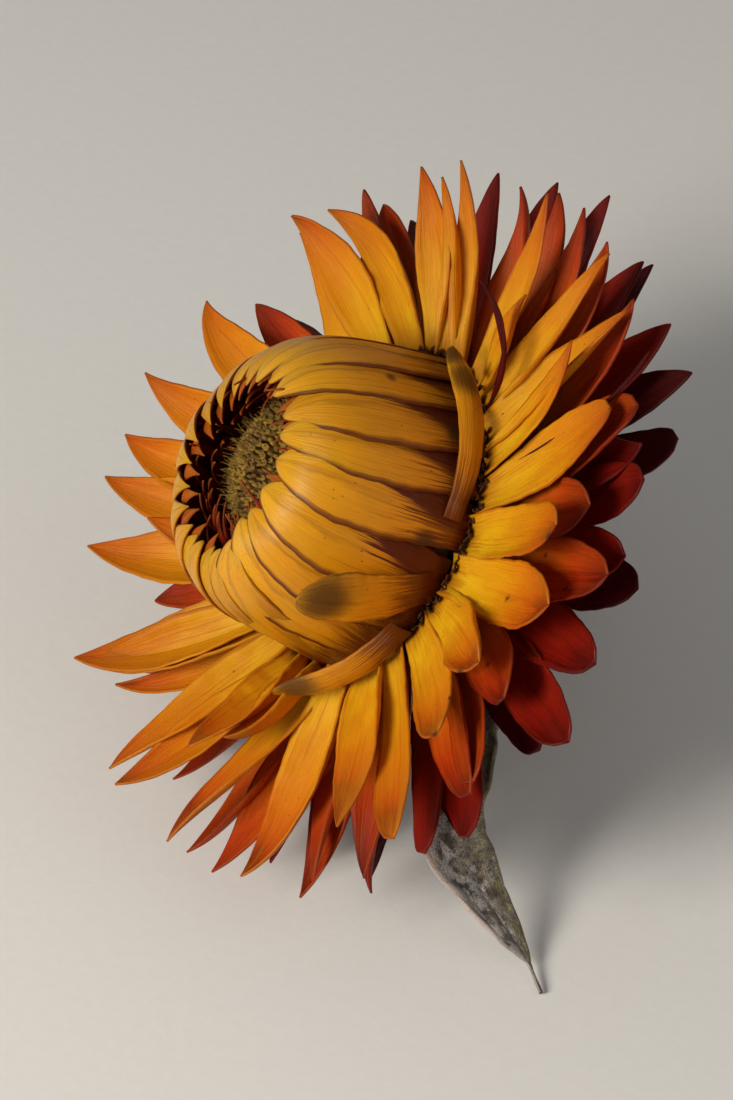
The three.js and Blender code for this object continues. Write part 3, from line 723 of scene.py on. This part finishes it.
# %% Orange, red and maroon bracts
ORANGE_SEEN = [
    (151, 372, 203, 17, 4.4), (110, 505, 182, 16, 4.2), (99, 560, 193, 17, 4.2),
    (92, 580, 207, 17.5, 4.2), (82, 617, 245, 18, 4.6), (69, 635, 300, 18, 4.6),
    (58, 630, 402, 17, 5), (46, 585, 490, 16, 5), (31, 608, 575, 16.5, 5),
    (18, 497, 700, 14, 4.6), (8, 475, 780, 16, 4.6), (-3, 465, 790, 16, 4.6),
    (-16, 383, 880, 17, 4.6), (-28, 308, 898, 17.5, 4.8), (-41, 295, 870, 18, 4.4),
    (-54, 205, 865, 18.5, 4.4), (-65, 183, 855, 18.5, 4.4), (-76, 180, 783, 17, 4.4),
]
RED_SEEN = [
    (62, 640, 420, 19, 5), (50, 637, 455, 19, 5), (37, 620, 540, 19, 5),
    (24, 587, 665, 18, 5), (13, 568, 740, 18.5, 5), (-1, 470, 835, 18, 5),
    (-11, 400, 850, 18, 4.6), (-31, 365, 890, 18, 4.6),
]
MAROON_SEEN = [
    (60, 655, 395, 19, 4.6), (33, 638, 578, 19, 5), (5, 515, 762, 17, 4.8),
]
HIDDEN = {
    "orange": [(165 + 13 * i, 17.5, 4.6, 100 + i) for i in range(9)],
    "red": [(78 + 16 * i, 18.2, 4.8, 200 + i) for i in range(15)],
    "maroon": [(80 + 18.5 * i, 17.2, 5, 300 + i) for i in range(15)],
}


def layer_bracts(name, seen, seed):
    layer = LAYERS[name]
    bracts = [seen_bract(layer, row, seed + i) for i, row in enumerate(seen)]
    for b in bracts:
        b["flush"] -= 0.4 * max(cosd(b["azimuth"] + 35), 0)
    bracts += [hidden_bract(layer, *row) for row in HIDDEN[name]]
    return [above_table(b) for b in bracts]


paper(
    "orange_bracts_paper", "orange_bracts", layer_bracts("orange", ORANGE_SEEN, 50), orange_paper,
    blots_and_shade=[(562, 587, 0.4), (484, 664, 0.45), (542, 559, 0.35)],
)
paper(
    "red_bracts_paper", "red_bracts", layer_bracts("red", RED_SEEN, 70), red_paper,
    blots_and_shade=[(537, 647, 0.6), (605, 482, 0.5)],
)
paper("maroon_bracts_paper", "maroon_bracts", layer_bracts("maroon", MAROON_SEEN, 80), maroon_paper)

# %% [markdown]
# ## Two dry strands
# At the upper right a thin curled thread and a dark hooked one stand out between the bracts. They
# are bracts that have dried to almost nothing, so they are made as very narrow ones.

# %% Strands
strands = [
    dict(seen_bract(LAYERS["gold"], (60, 668, 380, 17.5, 0.4, 26), 91), flush=0.8),
    dict(seen_bract(LAYERS["scoop"], (86, 495, 264, 12, 0.5, 90), 92), flush=1),
]
paper("dry_strands", "gold_bracts", strands, maroon_paper, thick=0.12, rows=40, columns=5)

# %% [markdown]
# ## The dome
# The youngest bracts still close over the disc and leave a round mouth. They rise straight from the
# collar, keep to a barrel for two thirds of their length and then bend in over the rim. A row gives
# the azimuth, width and skew of one that is seen. A little roll lays each over one neighbour and
# under the other, like shingles. Four more stand in the close row at the lower left, redder ones
# show through the gaps all round, and three loose ones lie against the foot of the dome.

# %% Dome bracts
DOME_SEEN = [
    (-80, 5.2, 12), (-63, 5.4, 14), (-44, 5.8, 12), (-18, 6.4, 5), (3, 5.6, 0), (19.5, 6.2, 0),
    (40, 6.4, 0), (57.5, 5.6, 0), (73.5, 6, 0), (91, 5.8, 2), (106, 5.6, 4), (121, 5.6, 4),
]
DOME_ROWS = DOME_SEEN + [(121 + 15.9 * n, 5.6, 4 + 6 * (n / 9) ** 2) for n in range(1, 10)]
DOME_ROOT = 12.98
DOME_LENGTH = 16.1
TOP_SIDE = 126


def dome_bract(i):
    azimuth, width, skew = DOME_ROWS[i]
    far = max(cosd(azimuth - FAR_SIDE), 0)
    top = max(cosd(azimuth - TOP_SIDE), 0)
    return dict(
        PLAIN, azimuth=azimuth, root=DOME_ROOT + (0.1 if i % 2 == 0 else 0), height=0.5,
        width=width, length=DOME_LENGTH + 1.5 * far + 0.5 * top + 0.7 * sway(430 + i),
        rise=95 + 4.5 * top, curl=88 + 20 * far, bend=3.3, skew=skew, claw=1,
        roll=2.5 if i > 17 or i == 0 else 4 if i > 10 else 7, foot=0.62, wide=0.5,
        point=0.62 + 0.5 * far, cup=0.08, wave=0.05, seed=400 + i,
        # tuck sets how strongly painted shade lies where the neighbour overlaps this bract.
        flush=0.15 + 0.3 * draw(480 + i), tuck=1 if 0 < azimuth < 125 else 0.35,
    )


def under_bract(i):
    """A redder bract that shows in the gap between dome bracts i and i + 1."""
    b = dome_bract(i)
    return dict(
        b, azimuth=b["azimuth"] + 8.5, root=12, width=4.4, height=0.6, foot=0.9,
        length=b["length"] - 0.2 - 0.7 * draw(440 + i), point=1.1, seed=440 + i,
    )


LOOSE = [
    dict(azimuth=46, root=13.4, height=1.1, rise=2, curl=10, side=80, sweep=62, roll=-88,
         length=14.2, width=2.6, wide=0.8, seed=41),
    dict(azimuth=14, root=13.4, height=1, rise=60, curl=22, side=-60, sweep=-10, roll=63,
         length=11, width=4.6, seed=42),
    dict(azimuth=-4, root=14.3, height=0.9, rise=8, curl=10, side=-76, sweep=-50, roll=86,
         length=12.5, width=3.4, seed=43),
]
dome_paper = papery(
    "dome_paper",
    [(0, 0.36, 0.1, 0.004), (0.16, 0.65, 0.22, 0.003), (0.55, 0.7, 0.28, 0.004),
     (0.9, 0.75, 0.38, 0.01), (0.97, 0.7, 0.34, 0.014), (1, 0.4, 0.1, 0.005)],
    (0.48, 0.18, 0.004), (0.09, 0.013, 0.002), (0.22, 0.04, 0.003), rim_from=0.92, foot=0.28,
    gloss=0.33, shine=0.24,
)
lining_paper = papery(
    "lining_paper",
    [(0, 0.34, 0.08, 0.005), (0.45, 0.44, 0.05, 0.008), (0.75, 0.42, 0.028, 0.008),
     (0.95, 0.44, 0.05, 0.007), (1, 0.5, 0.16, 0.006)],
    (0.2, 0.012, 0.005), (0.14, 0.008, 0.004), (0.24, 0.03, 0.004), gloss=0.42,
)
under_paper = papery(
    "under_paper",
    [(0, 0.22, 0.04, 0.004), (0.5, 0.36, 0.07, 0.004), (0.78, 0.55, 0.12, 0.005),
     (0.92, 0.48, 0.12, 0.004), (1, 0.64, 0.26, 0.008)],
    (0.2, 0.03, 0.003), (0.12, 0.012, 0.003), (0.5, 0.16, 0.005), foot=0.5, gloss=0.4,
)
GAPS = [(-88, 4.8, 11, 16.6), (-71.5, 4.6, 13, 16.2), (-53.5, 4.6, 13, 15.9), (-31, 4.8, 8.5, 15.6)]
gap_bracts = [
    dict(dome_bract(0), azimuth=azimuth, width=width, skew=skew, length=length, root=13,
         roll=4, seed=470 + k)
    for k, (azimuth, width, skew, length) in enumerate(GAPS)
]
paper(
    "dome_bracts_paper", "dome_bracts", [dome_bract(i) for i in range(len(DOME_ROWS))] + gap_bracts,
    lining_paper, dome_paper, rows=52, columns=17,
    blots_and_shade=[(456, 428, 1.2), (426, 545, 1.3), (392, 372, 0.6)],
)
paper(
    "dome_under_bracts", "dome_bracts", [under_bract(i) for i in range(len(DOME_ROWS))],
    lining_paper, under_paper, thick=0.16, rows=44, columns=9,
)
loose = [dict(PLAIN, wide=0.6, point=0.5, wave=0.15, flush=0.4, claw=1.2) | b for b in LOOSE]
paper(
    "loose_bracts", "dome_bracts", loose, gold_paper, dome_paper, rows=44, columns=15,
    # These marks are partly brown blots and partly painted shade on the bracts' shaded ends and
    # edges.
    blots_and_shade=[(327, 606, 3.1), (452, 350, 1.8), (470, 374, 2), (292, 692, 3)],
)

# %% [markdown]
# ## Inside the mouth
# Behind the rim stand narrow bracts of dark maroon, which end in sharp hooked points. The solids
# have one row of them, and the real flower has them in a crowd, so twice as many finer ones stand
# between them, and lean and hook as chance has it.

# %% Inner bracts
INNER_BRACTS = 22
HOOKED_BRACTS = 46


def inner_bract(i):
    return dict(
        PLAIN, azimuth=360 * i / INNER_BRACTS + 5 * sway(500 + i), root=8.9, height=0.5,
        width=2.9, length=13.4 + 1.4 * sway(530 + i), rise=90, curl=78, bend=3.2,
        sweep=12 * sway(560 + i), foot=0.8, wide=0.3, point=0.9, cup=0.08, wave=0.1,
        seed=500 + i,
    )


def hooked_bract(i):
    return dict(
        inner_bract(i), azimuth=360 * i / HOOKED_BRACTS + 6 * draw(810 + i),
        root=8.4 + 1.3 * draw(860 + i), width=1.2 + 0.6 * draw(870 + i),
        length=13 + 2.6 * draw(820 + i), curl=60 + 50 * draw(830 + i),
        sweep=40 * sway(840 + i), hook=-40 * draw(850 + i), point=1.5, seed=800 + i,
    )


inner_paper = papery(
    "inner_paper",
    [(0, 0.16, 0.012, 0.005), (0.6, 0.28, 0.016, 0.006), (0.88, 0.4, 0.028, 0.006),
     (1, 0.6, 0.17, 0.02)],
    (0.07, 0.006, 0.004), (0.05, 0.004, 0.003), (0.3, 0.05, 0.006), rim_from=0.8, gloss=0.34,
)
inner = [inner_bract(i) for i in range(INNER_BRACTS)]
inner += [hooked_bract(i) for i in range(HOOKED_BRACTS)]
paper("inner_bracts_paper", "inner_bracts", inner, inner_paper, thick=0.16, rows=36, columns=7)

# %% [markdown]
# ## Turned shapes
# The collars that the bracts grow from, the core under the florets and the swollen top of the stem
# are all round the head's axis. A profile of distance and height is turned into rings of points,
# and each point is pushed in or out a little, because nothing on a dry plant is as even as turned
# wood.

# %% Turning a profile


def turned(profile, sides, rough, seed, closed=False):
    points = []
    for j, (radius, height) in enumerate(profile):
        for i in range(sides):
            push = rough * sway(seed + j * 131.7 + i * 17.3)
            sink = rough * sway(seed + j * 71.9 + i * 29.1)
            points.append(head_point(360 * i / sides, max(radius + push, 0.01), height + sink))
    quads = grid_faces(len(profile) - (0 if closed else 1), sides, ring=True)
    return points, [tuple(v % len(points) for v in quad) for quad in quads]


print("a turned band of 12 has", len(turned([(1, 0), (2, 0)], 12, 0, 0)[1]), "faces")

# %% [markdown]
# ## Collars and chaff
# Between the dome and the wheel the photograph shows a dark crumbly line: the dry rim that the
# bracts grow from, with small torn scales on it. Each collar is a rough ring, and tiny scales are
# set along the gap.

# %% Collars
bark = Finish("dry_rim")
crumbs = bark.noise(bark.place(), 1500, 5, 0.7)
patches = bark.step(bark.noise(bark.place(), 420, 3, 0.6), 0.35, 0.7)
rim_finish = bark.surface(
    bark.mix(patches, (0.018, 0.007, 0.004), (0.08, 0.03, 0.01)), 0.75 + crumbs * 0.2, crumbs, 0.25,
)
COLLARS = {
    "gold": (9.35, 13.1, -1.75, -1.3), "orange": (9.35, 13.6, -3.35, -2.6),
    "red": (9.35, 12.9, -5, -4.2), "maroon": (9.35, 12, -6.9, -5.7),
    "dome": (10.15, 12.2, -0.3, 1.2), "inner": (8.25, 9.8, 0.1, 1.4),
}
ROUNDING = 0.2
CHAFF = 230


def collar_profile(inner, outer, bottom, top):
    b = ROUNDING
    middle = (inner + outer) / 2
    return [
        (inner, bottom + b), (inner + b, bottom), (middle, bottom), (outer - b, bottom),
        (outer, bottom + b), (outer, top - b), (outer - b, top), (middle, top), (inner + b, top),
        (inner, top - b),
    ]


for key, sizes in COLLARS.items():
    points, faces = turned(collar_profile(*sizes), 150, 0.16, 900 + 10 * len(key), closed=True)
    solid(key + "_collar", key + "_bracts", points, faces, rim_finish)


def chaff(i):
    n = 1000 + 7 * i
    return dict(
        PLAIN, azimuth=360 * i / CHAFF + 3 * draw(n), root=13 + 0.4 * draw(n + 1),
        height=-0.95 + 0.4 * draw(n + 2), rise=10 + 60 * draw(n + 3), curl=60 * sway(n + 4),
        length=0.4 + 0.5 * draw(n + 5), width=0.3 + 0.4 * draw(n + 6),
        side=70 * sway(n + 6.5), point=1.2, wave=0.1, seed=n,
    )


chaff_paper = papery(
    "chaff_paper",
    [(0, 0.02, 0.008, 0.004), (0.6, 0.07, 0.022, 0.007), (1, 0.2, 0.08, 0.02)],
    (0.03, 0.012, 0.005), (0.02, 0.008, 0.004), (0.04, 0.016, 0.006), gloss=0.55,
)
flakes = [chaff(i) for i in range(CHAFF)]
paper("rim_chaff", "gold_bracts", flakes, chaff_paper, thick=0.08, rows=6, columns=5)

# %% [markdown]
# ## The disc of florets
# At the bottom of the mouth lie many tiny florets, packed in the spiral of every daisy: each turns
# 137.5 degrees from the one before and sits a little further out. A floret is a slim tube that
# opens into five teeth, so a few rings of ten points draw it, with every second point of the last
# ring pulled up and out. Hair-thin bristles with three sides stand between them, and a turned core
# closes the disc from below.

# %% Florets
FLORETS = 300
TURN = 137.508
DISC_RADIUS = 5
DISC_TOP = 12
DISC_FALL = 1.9
RING = 10


def disc_point(azimuth, radius, above=0):
    height = DISC_TOP - DISC_FALL * (radius / DISC_RADIUS) ** 2
    return head_point(azimuth, radius, height + above)


def floret(azimuth, radius, seed):
    foot = disc_point(azimuth, radius)
    axis = W + 0.28 * radius / DISC_RADIUS * outward(azimuth) + 0.12 * sway(seed) * X
    axis = unit(axis + 0.12 * sway(seed + 1) * Y)
    side = outward(azimuth + 90)
    other = np.cross(axis, side)
    size = 0.62 + 0.3 * draw(seed + 2)
    shut = draw(seed + 3) > 0.45
    rings = [(0.13, -1.2), (0.16, 0.1), (0.26, 0.42), (0.24, 0.62), (0.1 if shut else 0.34, 0.86)]
    points = []
    for level, (r, h) in enumerate(rings):
        for k in range(RING):
            tooth = level == 4 and k % 2 == 0
            a = 2 * pi * k / RING
            rr = r * size * (1.25 if tooth and not shut else 1)
            hh = h * size + (0.16 if tooth else 0)
            points.append(foot + axis * hh + rr * between(a, side, other))
    last = len(points) - RING
    points.append(foot + axis * (0.66 * size))
    fan = [(last + k, last + (k + 1) % RING, last + RING) for k in range(RING)]
    return points, grid_faces(len(rings) - 1, RING, ring=True) + fan


olive = Finish("floret")
patch = olive.noise(olive.place(), 700, 3, 0.6)
dust = olive.noise(olive.place(), 3200, 3, 0.7)
floret_colour = olive.coats(
    (0.12, 0.045, 0.005), (olive.step(patch, 0.38, 0.62), (0.3, 0.17, 0.01)),
    (olive.step(dust, 0.5, 0.75) * 0.6, (0.48, 0.29, 0.02)),
)
floret_finish = olive.surface(
    floret_colour, 0.6 + dust * 0.25, dust, 0.08,
    Subsurface_Weight=0.2, Subsurface_Scale=0.0004, Subsurface_Radius=(1, 0.7, 0.2),
)
parts = []
for i in range(FLORETS):
    radius = (DISC_RADIUS + 0.3) * sqrt((i + 0.5) / FLORETS)
    parts.append(floret(TURN * i, radius, 600 + 4 * i))
solid("florets", "disc_florets", *gather(parts), floret_finish)

# %% Bristles and core
BRISTLES = 420


def bristle(i):
    n = 2000 + 9 * i
    azimuth = 360 * draw(n)
    radius = 5.9 * sqrt(draw(n + 1))
    foot = disc_point(azimuth, radius, above=0.2)
    way = unit(W + outward(azimuth) * (0.5 * draw(n + 2)) + outward(azimuth + 90) * sway(n + 3))
    side = unit(np.cross(way, X))
    other = np.cross(way, side)
    bend = (side * sway(n + 4) + other * sway(n + 5)) * 0.5
    tall = 0.7 + 1 * draw(n + 6)
    points = []
    for level, r in ((0, 0.035), (0.5, 0.028), (0.85, 0.018)):
        middle = foot + way * tall * level + bend * level ** 2
        points += [middle + r * between(a, side, other) for a in (0, 2.1, 4.2)]
    points.append(foot + way * tall + bend)
    return points, grid_faces(2, 3, ring=True) + [(6, 7, 9), (7, 8, 9), (8, 6, 9)]


solid("bristles", "disc_florets", *gather([bristle(i) for i in range(BRISTLES)]), floret_finish)
core = [
    (0.01, 0.1), (7.9, 0.1), (7.9, 1.2), (5.4, 4), (DISC_RADIUS, 10.2), (3.4, 11.2), (0.01, 11.6),
]
solid("disc_core", "disc_florets", *turned(core, 64, 0.1, 950), rim_finish)

# %% [markdown]
# ## The stem
# The stem is cut off short. It leaves the swollen top under the head, bends down behind it and lies
# along the table. Its middle line is a smooth curve through a few points, and round it goes a tube
# with ribs, which a dry stem of this kind has because its soft parts shrink between its fibres. The
# cut end is closed by rings that draw in and sink a little.

# %% A smooth line through points


def smooth_line(points, count):
    """A smooth curve through the points, at even steps along its length."""
    ends = [2 * points[0] - points[1], *points, 2 * points[-1] - points[-2]]
    dense = []
    for a, b, c, d in zip(ends, ends[1:], ends[2:], ends[3:]):
        t0 = np.linalg.norm(b - a) ** 0.5
        t1 = np.linalg.norm(c - b) ** 0.5
        t2 = np.linalg.norm(d - c) ** 0.5
        m1 = ((b - a) / t0 - (c - a) / (t0 + t1) + (c - b) / t1) * t1
        m2 = ((c - b) / t1 - (d - b) / (t1 + t2) + (d - c) / t2) * t1
        for t in np.linspace(0, 1, 40, endpoint=False):
            square = (-3 * b + 3 * c - 2 * m1 - m2) * t * t
            dense.append(b + m1 * t + square + (2 * b - 2 * c + m1 + m2) * t ** 3)
    dense = np.array([*dense, points[-1]])
    length = np.concatenate([[0], np.cumsum(np.linalg.norm(np.diff(dense, axis=0), axis=1))])
    even = np.linspace(0, length[-1], count)
    return np.stack([np.interp(even, length, dense[:, k]) for k in range(3)], 1), length[-1]


def tangents(line):
    t = np.gradient(line, axis=0)
    return t / np.linalg.norm(t, axis=1)[:, None]


print("a line round a corner is", round(smooth_line([0 * X, X, X + Y], 9)[1], 2), "long")

# %% Stem
STEM_RADIUS = 1.3
STEM_SIDES = 44
STEM_RIBS = 11
CUT_RINGS = ((0.86, 0.02), (0.62, -0.1), (0.3, -0.16), (0.02, -0.12))
STEM_LINE = [
    (5.6, 1, 21.9), (8.4, 1.5, 19.8), (12.2, 3, 15.6), (16, 8, 9.2), (17.2, 16, 3.9),
    (16, 26, 1.62), (14, 37, 1.29),
]
stem_points = [np.array([HEAD[0] + x, HEAD[1] + y, z]) for x, y, z in STEM_LINE]
line, stem_length = smooth_line(stem_points, 150)
print("stem", round(stem_length), "mm long")


def ribbed_tube(line, ways):
    side = np.cross(ways[0], [0, 0, 1])
    points = []
    for j, (spot, way) in enumerate(zip(line, ways)):
        side = unit(side - way * (side @ way))
        other = np.cross(way, side)
        for k in range(STEM_SIDES):
            a = 2 * pi * k / STEM_SIDES
            groove = 0.055 * cos(STEM_RIBS * a + 0.02 * j) + 0.03 * sin(3 * a + 0.11 * j)
            swell = 0.03 * sin(0.37 * j + a) + 0.02 * sway(j * 3.1 + k * 7.7)
            r = STEM_RADIUS - 0.06 + groove + swell
            points.append(spot + r * between(a, side, other))
    return points


ways = tangents(line)
points = ribbed_tube(line, ways)
cut = np.array(points[-STEM_SIDES:])
for share, sink in CUT_RINGS:
    points.extend(line[-1] + (cut - line[-1]) * share + ways[-1] * sink)
faces = grid_faces(len(points) // STEM_SIDES - 1, STEM_SIDES, ring=True)
fibre = Finish("dry_stem")
stretched = fibre.node(
    "Mapping", None, {"Vector": fibre.place(), "Scale": (1, 0.22, 0.6)},
)
streaks = fibre.noise(stretched, 1700, 4, 0.65)
stain = fibre.noise(fibre.place(), 230, 4, 0.6)
stem_colour = fibre.coats(
    (0.1, 0.075, 0.03), (fibre.step(stain, 0.35, 0.68), (0.26, 0.2, 0.09)),
    (fibre.step(streaks, 0.5, 0.72) * 0.7, (0.36, 0.29, 0.15)),
    (fibre.step(streaks, 0.42, 0.3) * 0.8, (0.055, 0.035, 0.016)),
)
stem_finish = fibre.surface(stem_colour, 0.72 + streaks * 0.2, streaks, 0.12, Sheen_Weight=0.2)
solid("stem_tube", "stem", points, faces, stem_finish)

# %% [markdown]
# ## The back of the head
# Under the wheel the stem swells into a cup. Small dry scales cover it like tiles, in two rows like
# the solids, with a third row of short ones between them so that no gap shows.

# %% Cup and scales
cup = [
    (0.01, -10.6), (1.3, -10.5), (2.2, -10.2), (3.8, -9.6), (5.2, -8.9), (6.5, -8.3), (7.6, -7.7),
    (8.5, -7.1), (9, -6.6), (9, -3.5), (9, -0.25), (4, -0.25), (0.01, -0.25),
]
solid("stem_cup", "stem", *turned(cup, 72, 0.12, 970), stem_finish)
BACK_SCALES = 24
SHORT_SCALES = 15


def back_scale(i):
    inner = i % 2
    return dict(
        PLAIN, azimuth=360 * i / BACK_SCALES + 6 * sway(700 + i), root=4.6 if inner else 7,
        height=-9.3 if inner else -8.2, rise=-20 if inner else -14, curl=12, width=4.2,
        length=(6.2 if inner else 6.6) + draw(730 + i), foot=0.7, cup=0.1, wave=0.15,
        seed=700 + i, flush=0.3 + 0.5 * draw(760 + i),
    )


def short_scale(i):
    return dict(
        back_scale(1), azimuth=360 * i / SHORT_SCALES + 9 * draw(880 + i), root=2.4,
        height=-10.2, width=2.9, length=3.6 + 1.2 * draw(890 + i), rise=-16, curl=8,
        seed=880 + i,
    )


scale_paper = papery(
    "scale_paper",
    [(0, 0.2, 0.11, 0.04), (0.5, 0.34, 0.17, 0.06), (0.85, 0.3, 0.07, 0.025),
     (1, 0.14, 0.02, 0.01)],
    (0.18, 0.09, 0.035), (0.1, 0.035, 0.015), (0.16, 0.07, 0.03), gloss=0.5,
)
scales = [back_scale(i) for i in range(BACK_SCALES)]
scales += [short_scale(i) for i in range(SHORT_SCALES)]
paper("stem_scales", "stem", scales, scale_paper, rows=18, columns=9)

# %% [markdown]
# ## The leaf
# One narrow leaf hangs from the stem and comes out under the wheel, down to the table. Its visible
# part follows the pixels of its midrib, at heights that bring its tip to the table. A dry leaf is
# crumpled, so the sheet is waved in several sizes, more towards its margins than at the midrib. It
# is mottled with brown and purple, and pale dust lies on its left half.

# %% Leaf
LEAF_HIDDEN = [(11.2, -0.9, 16), (9.2, -6, 14.9), (7.2, -12, 12)]
LEAF_SEEN = [(455, 840, 7.8), (480, 890, 4.9), (510, 935, 2.2), (527, 960, 1), (541, 993, 0.38)]
LEAF_WIDTH = 6.2
LEAF_ROWS = 90
LEAF_COLUMNS = 21
LEAF_TABLE = 0.2
leaf_points = [np.array([HEAD[0] + x, HEAD[1] + y, z]) for x, y, z in LEAF_HIDDEN]
for px, py, z in LEAF_SEEN:
    ray = seen_ray(px, py)
    leaf_points.append(EYE + ray * (z - EYE[2]) / ray[2])
line, leaf_length = smooth_line(leaf_points, LEAF_ROWS + 1)
print("leaf", round(leaf_length), "mm long")


def leaf_half(s):
    """Half the leaf's width at the share s of its length: a lance, then a drawn-out tip."""
    blade = sin(pi * min(s / 0.92, 1) ** 0.85) ** 0.7 if s < 0.92 else 0
    half = max(LEAF_WIDTH / 2 * blade, 0.34 * (1 - s) ** 0.5, 0.05)
    return half * (1 + 0.05 * sin(31 * s) + 0.03 * sin(67 * s + 1))


def leaf_lift(s, v, half):
    """How far a point stands out of the flat blade. v runs from margin to margin, -1 to 1."""
    crumple = 0.35 / 3 * sin(2.6 * v + 9 * s) + 0.07 * sin(9 * v + 23 * s)
    crumple += 0.05 * sin(17 * v - 41 * s)
    groove = 0.12 * exp(-(v / 0.12) ** 2) * min(half, 1)
    return 0.2 * half * v * v + crumple * half * abs(v) - groove


margins = np.linspace(-1, 1, LEAF_COLUMNS)
points = []
for j, (spot, way) in enumerate(zip(line, tangents(line))):
    s = j / LEAF_ROWS
    flat = -unit(np.cross(way, (-0.25, 0.2, 1)))
    face = np.cross(way, flat)
    half = leaf_half(s)
    points.extend(spot + flat * half * v + face * leaf_lift(s, v, half) for v in margins)
points = np.array(points)
points[:, 2] = np.maximum(points[:, 2], LEAF_TABLE)

# %% Finish of the leaf
felt = Finish("dry_leaf")
along = felt.field("along")
across = felt.field("across")
where = felt.vector(across * 3.1, along * 30, 0)
mottle = felt.noise(where, 0.55, 5, 0.68)
spots = felt.noise(where, 1.7, 4, 0.7)
down = felt.noise(where, 9, 3, 0.6)
frost = felt.noise(where, 1, 3, 0.6)
right = felt.step(across + (spots - 0.5) * 0.5, 0.15, 0.7)
pale = felt.step(down, 0.44, 0.6) * felt.step(mottle + spots * 0.3, 0.56, 0.74)
dusty = felt.step(frost - across * 0.14, 0.5, 0.62) * felt.step(down, 0.34, 0.54)
left = felt.step(across + (spots - 0.5) * 0.5, -0.7, -0.95)
leaf_colour = felt.coats(
    (0.045, 0.03, 0.022), (felt.step(mottle, 0.38, 0.6), (0.19, 0.145, 0.075)),
    (right * 0.7, (0.17, 0.145, 0.035)),
    (felt.step(spots, 0.48, 0.58) * 0.9, (0.024, 0.011, 0.024)), (pale * 0.7, (0.46, 0.42, 0.38)),
    (dusty * 0.75, (0.52, 0.48, 0.46)), (left * 0.8, (0.55, 0.43, 0.38)),
)
leaf_finish = felt.surface(
    leaf_colour, 0.62 + down * 0.25, down * 0.5 + spots + mottle * 0.6, 0.3, Sheen_Weight=0.25,
    Subsurface_Weight=0.1, Subsurface_Scale=0.0006,
)
leaf = solid("leaf_blade", "leaf", points, grid_faces(LEAF_ROWS, LEAF_COLUMNS), leaf_finish)
write_fields(leaf, {
    "along": np.repeat(np.linspace(0, 1, LEAF_ROWS + 1), LEAF_COLUMNS),
    "across": np.tile(margins, LEAF_ROWS + 1),
})
thicken(leaf, 0.34)

# %% [markdown]
# ## Sizes, and the end
# The finer pieces should keep the flower within the size of its solids, so the sizes of both
# boxes are printed.

# %% Sizes
fine_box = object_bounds()
sizes = {
    "cad": [list(corner) for corner in plain_box],
    "visual": [list(corner) for corner in fine_box],
}
for name, (low, high) in sizes.items():
    print(name, [round(1000 * (b - a), 2) for a, b in zip(low, high)], "mm")
